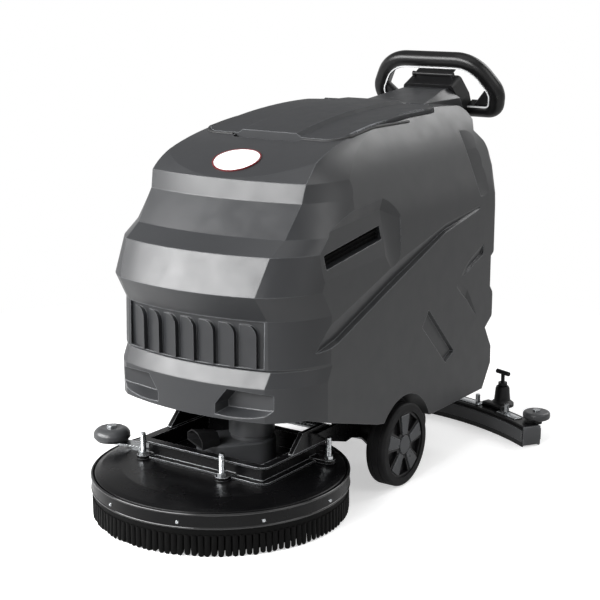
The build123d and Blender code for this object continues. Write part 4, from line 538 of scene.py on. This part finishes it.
# Threads of the deck studs, drawn about twice as coarse as real ones so that they show
thread = {"places": ((-158, -440), (76, -452), (206, -228), (-206, -228)), "low": 126, "turns": 13,
          "pitch": 3.0, "root": 5.9, "crest": 6.7, "inner": 5.2, "steps": 20}
section = [
    (thread["crest"] if number % 2 else thread["root"], number * thread["pitch"] / 2)
    for number in range(2 * thread["turns"] + 1)]
section += [(thread["inner"], thread["turns"] * thread["pitch"]), (thread["inner"], 0)]
bm = bmesh.new()
for x, y in thread["places"]:
    turnRing(bm, section, Vector((x, y, thread["low"])) * mm, thread["steps"])
makePiece("studThreads", bm, zincPlate, "deck", sharp=30)
print("screws and threads made")

softEdge = {"turn": 0.6, "segments": 2}  # an edge is softened where its faces turn by more, in radians


def softenEdges(bm, width):
    bmesh.ops.recalc_face_normals(bm, faces=bm.faces[:])
    corners = [edge for edge in bm.edges if edge.is_manifold and edge.calc_face_angle() > softEdge["turn"]]
    bmesh.ops.bevel(
        bm, geom=corners, offset=width * mm, offset_type="OFFSET", affect="EDGES",
        segments=softEdge["segments"], profile=0.5, material=-1)


# Squeegee fittings: plated flats and clamp blocks on top, turned towers round the screw posts, closed ends.
# Angles are in degrees about the arc's middle
squeegee = {
    "middle": -167, "top": 54, "arcStep": 1.2, "post": (752, 19.5),
    "flats": ((9, 16.6), (22.4, 28.6)), "flatRadii": (699, 723), "flatThick": 2.2, "flatSoft": 0.7,
    "blockRadii": (713, 738), "blockHalf": 2.9, "blockHeight": 11, "blockSoft": 2.5,
    "end": (33.5, 33.85), "endRadii": (687, 737), "endFoot": 4, "endDrop": 1, "endSoft": 0.8,
    "tower": ((13.4, 54), (31, 54), (31, 62), (21.5, 70), (18.5, 103), (16, 108), (13.4, 108)),
    "towerSteps": 40}
arcMiddle = Vector((0, squeegee["middle"], 0)) * mm


def arcPlate(bm, radii, heights, angles):
    # A bent bar: its end face, carried along the arc from one angle to the other
    (inner, outer), (low, high), (first, last) = radii, heights, angles
    corners = ((inner, low), (outer, low), (outer, high), (inner, high))
    verts = [bm.verts.new(Vector((0, radius, height)) * mm + arcMiddle) for radius, height in corners]
    face = bm.faces.new(verts)
    start = Matrix.Rotation(-math.radians(first), 3, "Z")
    bmesh.ops.rotate(bm, cent=arcMiddle, matrix=start, verts=verts)
    bmesh.ops.spin(
        bm, geom=verts + face.edges[:] + [face], cent=arcMiddle, axis=-up, angle=math.radians(last - first),
        steps=max(2, round(abs(last - first) / squeegee["arcStep"])))


top = squeegee["top"]
postRadius, postAngle = squeegee["post"]
flats, blocks, ends = bmesh.new(), bmesh.new(), bmesh.new()
for side in (1, -1):
    for angles in squeegee["flats"]:
        reach = [side * angle for angle in angles]
        arcPlate(flats, squeegee["flatRadii"], (top, top + squeegee["flatThick"]), reach)
    reach = [side * (postAngle + half) for half in (-squeegee["blockHalf"], squeegee["blockHalf"])]
    arcPlate(blocks, squeegee["blockRadii"], (top, top + squeegee["blockHeight"]), reach)
    reach = [side * angle for angle in squeegee["end"]]
    arcPlate(ends, squeegee["endRadii"], (squeegee["endFoot"], top - squeegee["endDrop"]), reach)
softenEdges(flats, squeegee["flatSoft"])
softenEdges(blocks, squeegee["blockSoft"])
softenEdges(ends, squeegee["endSoft"])
for side in (1, -1):
    turn = math.radians(side * postAngle)
    spot = arcMiddle + Vector((math.sin(turn), math.cos(turn), 0)) * postRadius * mm
    turnRing(blocks, squeegee["tower"], spot, squeegee["towerSteps"])
makePiece("squeegeeFlats", flats, zincPlate, "squeegee")
makePiece("squeegeeClamps", blocks, blackNylon, "squeegee", sharp=40)
makePiece("squeegeeEnds", ends, strapSteel, "squeegee")
print("squeegee fittings made")

# Marks of the panel, all of them plain shapes: dots that grow round the flow knob, rings round the other
# controls and a frame round the display. Places are across, up and out of the panel
panel = {
    "origin": (0, 567, 955), "up": (0, -0.42894, 0.90334), "out": (0, 0.90334, 0.42894),
    "face": 12.0, "raise": 0.3, "sink": 0.2,
    "flow": (46, -82), "dots": 9, "dotRing": 18.2, "dotFrom": 225, "dotSweep": 270, "dotSizes": (0.6, 1.3),
    "dotSides": 14, "rings": ((-12, -80, 11.2), (16, -80, 11.2), (-46, -80, 13.0)), "ringWide": 0.9,
    "ringSteps": 40, "display": (0, -126, 35.5, 19.5), "frameWide": 1.0,
    "screws": ((60.5, -62.5), (60.5, -143.5)), "screwHead": 2.9, "screwProud": 1.5}
panelOut = Vector(panel["out"])
panelPlace = Matrix((Vector((1, 0, 0)), Vector(panel["up"]), panelOut)).transposed().to_4x4()
panelPlace.translation = Vector(panel["origin"]) * mm
low, high = panel["face"] - panel["sink"], panel["face"] + panel["raise"]
middle, thick = (low + high) / 2, high - low
bm = bmesh.new()
x, y = panel["flow"]
small, large = panel["dotSizes"]
for number in range(panel["dots"]):
    part = number / (panel["dots"] - 1)
    turn = math.radians(panel["dotFrom"] - panel["dotSweep"] * part)
    size = (small + (large - small) * part) * mm
    dot = bmesh.ops.create_cone(
        bm, cap_ends=True, segments=panel["dotSides"], radius1=size, radius2=size, depth=thick * mm)["verts"]
    spot = (x + panel["dotRing"] * math.cos(turn), y + panel["dotRing"] * math.sin(turn), middle)
    bmesh.ops.translate(bm, vec=Vector(spot) * mm, verts=dot)
for x, y, radius in panel["rings"]:
    outer = radius + panel["ringWide"]
    section = ((radius, low), (outer, low), (outer, high), (radius, high))
    turnRing(bm, section, Vector((x, y, 0)) * mm, panel["ringSteps"])
x, y, halfWide, halfTall = panel["display"]
wide = panel["frameWide"]
for side in (1, -1):
    level = ((x, y + side * halfTall, middle), (2 * halfWide, wide, thick))
    upright = ((x + side * halfWide, y, middle), (wide, 2 * halfTall + wide, thick))
    for place, size in (level, upright):
        bar = bmesh.ops.create_cube(bm, size=mm)["verts"]
        bmesh.ops.scale(bm, vec=size, verts=bar)
        bmesh.ops.translate(bm, vec=Vector(place) * mm, verts=bar)
bmesh.ops.transform(bm, matrix=panelPlace, verts=bm.verts[:])
makePiece("panelMarks", bm, paleInk, "body")
bm = bmesh.new()
for x, y in panel["screws"]:
    for side in (1, -1):
        place = panelPlace @ (Vector((side * x, y, panel["face"])) * mm)
        addScrew(bm, place, panelOut, panel["screwHead"], panel["screwProud"])
makePiece("panelScrews", bm, zincPlate, "body")
print("panel marks made")

# Webs in the loop's lower corners, clear of the gaps that the fingers use
webs = {"outline": ((106, -121), (162, -121), (162, -58)), "front": -13, "back": 9, "soft": 4.5}
bm = bmesh.new()
for side in (1, -1):
    corners = [bm.verts.new(Vector((side * x, y, webs["front"])) * mm) for x, y in webs["outline"]]
    grown = bmesh.ops.extrude_face_region(bm, geom=[bm.faces.new(corners)], use_keep_orig=True)["geom"]
    lifted = [item for item in grown if isinstance(item, bmesh.types.BMVert)]
    bmesh.ops.translate(bm, vec=up * (webs["back"] - webs["front"]) * mm, verts=lifted)
softenEdges(bm, webs["soft"])
bmesh.ops.transform(bm, matrix=panelPlace, verts=bm.verts[:])
makePiece("loopWebs", bm, blackNylon, "body", sharp=40)
print("loop webs made")

# Camera at the photograph's place, for a square frame
view = {"place": (1884.05, -2759.84, 1197.76), "azimuth": 34.752, "elevation": 13.203, "focal": 1423.49,
        "frame": 600, "far": 100}
camera = bpy.data.cameras.new("camera")
camera.lens = view["focal"] / view["frame"] * camera.sensor_width
camera.clip_end = view["far"]
cameraObject = bpy.data.objects.new("camera", camera)
cameraObject.location = Vector(view["place"]) * mm
cameraObject.rotation_euler = (math.radians(90 - view["elevation"]), 0, math.radians(view["azimuth"]))
scene.collection.objects.link(cameraObject)
scene.camera = cameraObject

# Studio: a wide softbox ahead on the machine's right, an overhead panel, a fill at its left, a panel behind
lamps = {
    "softbox": {"azimuth": -27, "elevation": 27, "distance": 4.2, "size": (5.6, 1.8), "power": 480},
    "overhead": {"azimuth": 20, "elevation": 82, "distance": 3.6, "size": (3.0, 3.0), "power": 24},
    "rear": {"azimuth": 166, "elevation": 34, "distance": 4.6, "size": (2.6, 2.0), "power": 66},
    "fill": {"azimuth": 98, "elevation": 34, "distance": 4.5, "size": (2.4, 2.4), "power": 38},
}
lampAim = Vector((0, -0.1, 0.45))
for name, lamp in lamps.items():
    light = bpy.data.lights.new(name, "AREA")
    light.shape = "RECTANGLE"
    light.size, light.size_y = lamp["size"]
    light.energy = lamp["power"]
    turn, rise = math.radians(lamp["azimuth"]), math.radians(lamp["elevation"])
    away = Vector((math.sin(turn) * math.cos(rise), -math.cos(turn) * math.cos(rise), math.sin(rise)))
    lightObject = bpy.data.objects.new(name, light)
    lightObject.location = lampAim + away * lamp["distance"]
    lightObject.rotation_euler = (-away).to_track_quat("-Z", "Y").to_euler()
    scene.collection.objects.link(lightObject)


def greyColour(level):
    return (level, level, level, 1)


# World: white to the camera and through clear parts. A shine sees it white near the horizon and dimmer
# overhead, as in a studio with a white wall and a dark ceiling, and as light it is soft all round
sky = {"light": 0.27, "ceiling": 0.3, "whiteBelow": 0.08, "dimAbove": 0.40}
world = bpy.data.worlds.new("studio")
world.use_nodes = True
tree = world.node_tree
tree.nodes.clear()
path = addNode(tree, "ShaderNodeLightPath")
direction = addNode(tree, "ShaderNodeTexCoord")
height = addNode(tree, "ShaderNodeSeparateXYZ", {}, {0: direction.outputs["Generated"]})
wall = addNode(
    tree, "ShaderNodeMapRange",
    {"From Min": sky["whiteBelow"], "From Max": sky["dimAbove"], "To Min": 1.0, "To Max": sky["ceiling"]},
    {"Value": height.outputs["Z"]})
shine = addNode(
    tree, "ShaderNodeMapRange", {"To Min": sky["light"]},
    {"Value": path.outputs["Is Glossy Ray"], "To Max": wall.outputs[0]})
sight = addNode(
    tree, "ShaderNodeMath", {"operation": "MAXIMUM"},
    {0: path.outputs["Is Camera Ray"], 1: path.outputs["Is Transmission Ray"]})
glow = addNode(
    tree, "ShaderNodeMapRange", {"To Max": 1.0}, {"Value": sight.outputs[0], "To Min": shine.outputs[0]})
backdrop = addNode(tree, "ShaderNodeBackground", {"Color": greyColour(1)}, {"Strength": glow.outputs[0]})
addNode(tree, "ShaderNodeOutputWorld", {}, {"Surface": backdrop.outputs[0]})
scene.world = world

# Pale floor: it keeps the machine's shadow close by and fades to the white of the backdrop between two
# distances in metres. A shine sees a share of it, and it throws little light up under the machine
ground = {"size": 30, "paint": 0.8, "glow": 0.5, "fadeFrom": 0.9, "fadeTo": 1.9, "dim": 0.3,
          "shineShare": 0.4}
floorMaterial, tree, place = startMaterial("paleFloor")
path = addNode(tree, "ShaderNodeLightPath")
paint = addNode(tree, "ShaderNodeBsdfDiffuse", {"Color": greyColour(ground["paint"])})
glow = addNode(tree, "ShaderNodeEmission", {"Color": greyColour(1), "Strength": ground["glow"]})
near = addNode(tree, "ShaderNodeAddShader", {}, {0: paint.outputs[0], 1: glow.outputs[0]})
white = addNode(tree, "ShaderNodeEmission", {"Color": greyColour(1), "Strength": 1.0})
reach = addNode(tree, "ShaderNodeVectorMath", {"operation": "LENGTH"}, {0: place})
fade = addNode(
    tree, "ShaderNodeMapRange", {"From Min": ground["fadeFrom"], "From Max": ground["fadeTo"]},
    {"Value": reach.outputs["Value"]})
seen = addNode(tree, "ShaderNodeMixShader", {}, {0: fade.outputs[0], 1: near.outputs[0], 2: white.outputs[0]})
dim = addNode(tree, "ShaderNodeBsdfDiffuse", {"Color": greyColour(ground["dim"])})
mirrored = addNode(
    tree, "ShaderNodeMath", {"operation": "MULTIPLY_ADD", 1: ground["shineShare"]},
    {0: path.outputs["Is Glossy Ray"], 2: path.outputs["Is Transmission Ray"]})
sight = addNode(
    tree, "ShaderNodeMath", {"operation": "MAXIMUM"},
    {0: path.outputs["Is Camera Ray"], 1: mirrored.outputs[0]})
blend = addNode(tree, "ShaderNodeMixShader", {}, {0: sight.outputs[0], 1: dim.outputs[0], 2: seen.outputs[0]})
addNode(tree, "ShaderNodeOutputMaterial", {}, {"Surface": blend.outputs[0]})
bm = bmesh.new()
bmesh.ops.create_grid(bm, x_segments=1, y_segments=1, size=ground["size"])
mesh = bpy.data.meshes.new("floor")
bm.to_mesh(mesh)
bm.free()
mesh.materials.append(floorMaterial)
floor = bpy.data.objects.new("floor", mesh)
scene.collection.objects.link(floor)

scene.view_settings.view_transform = "Standard"
print("studio set")
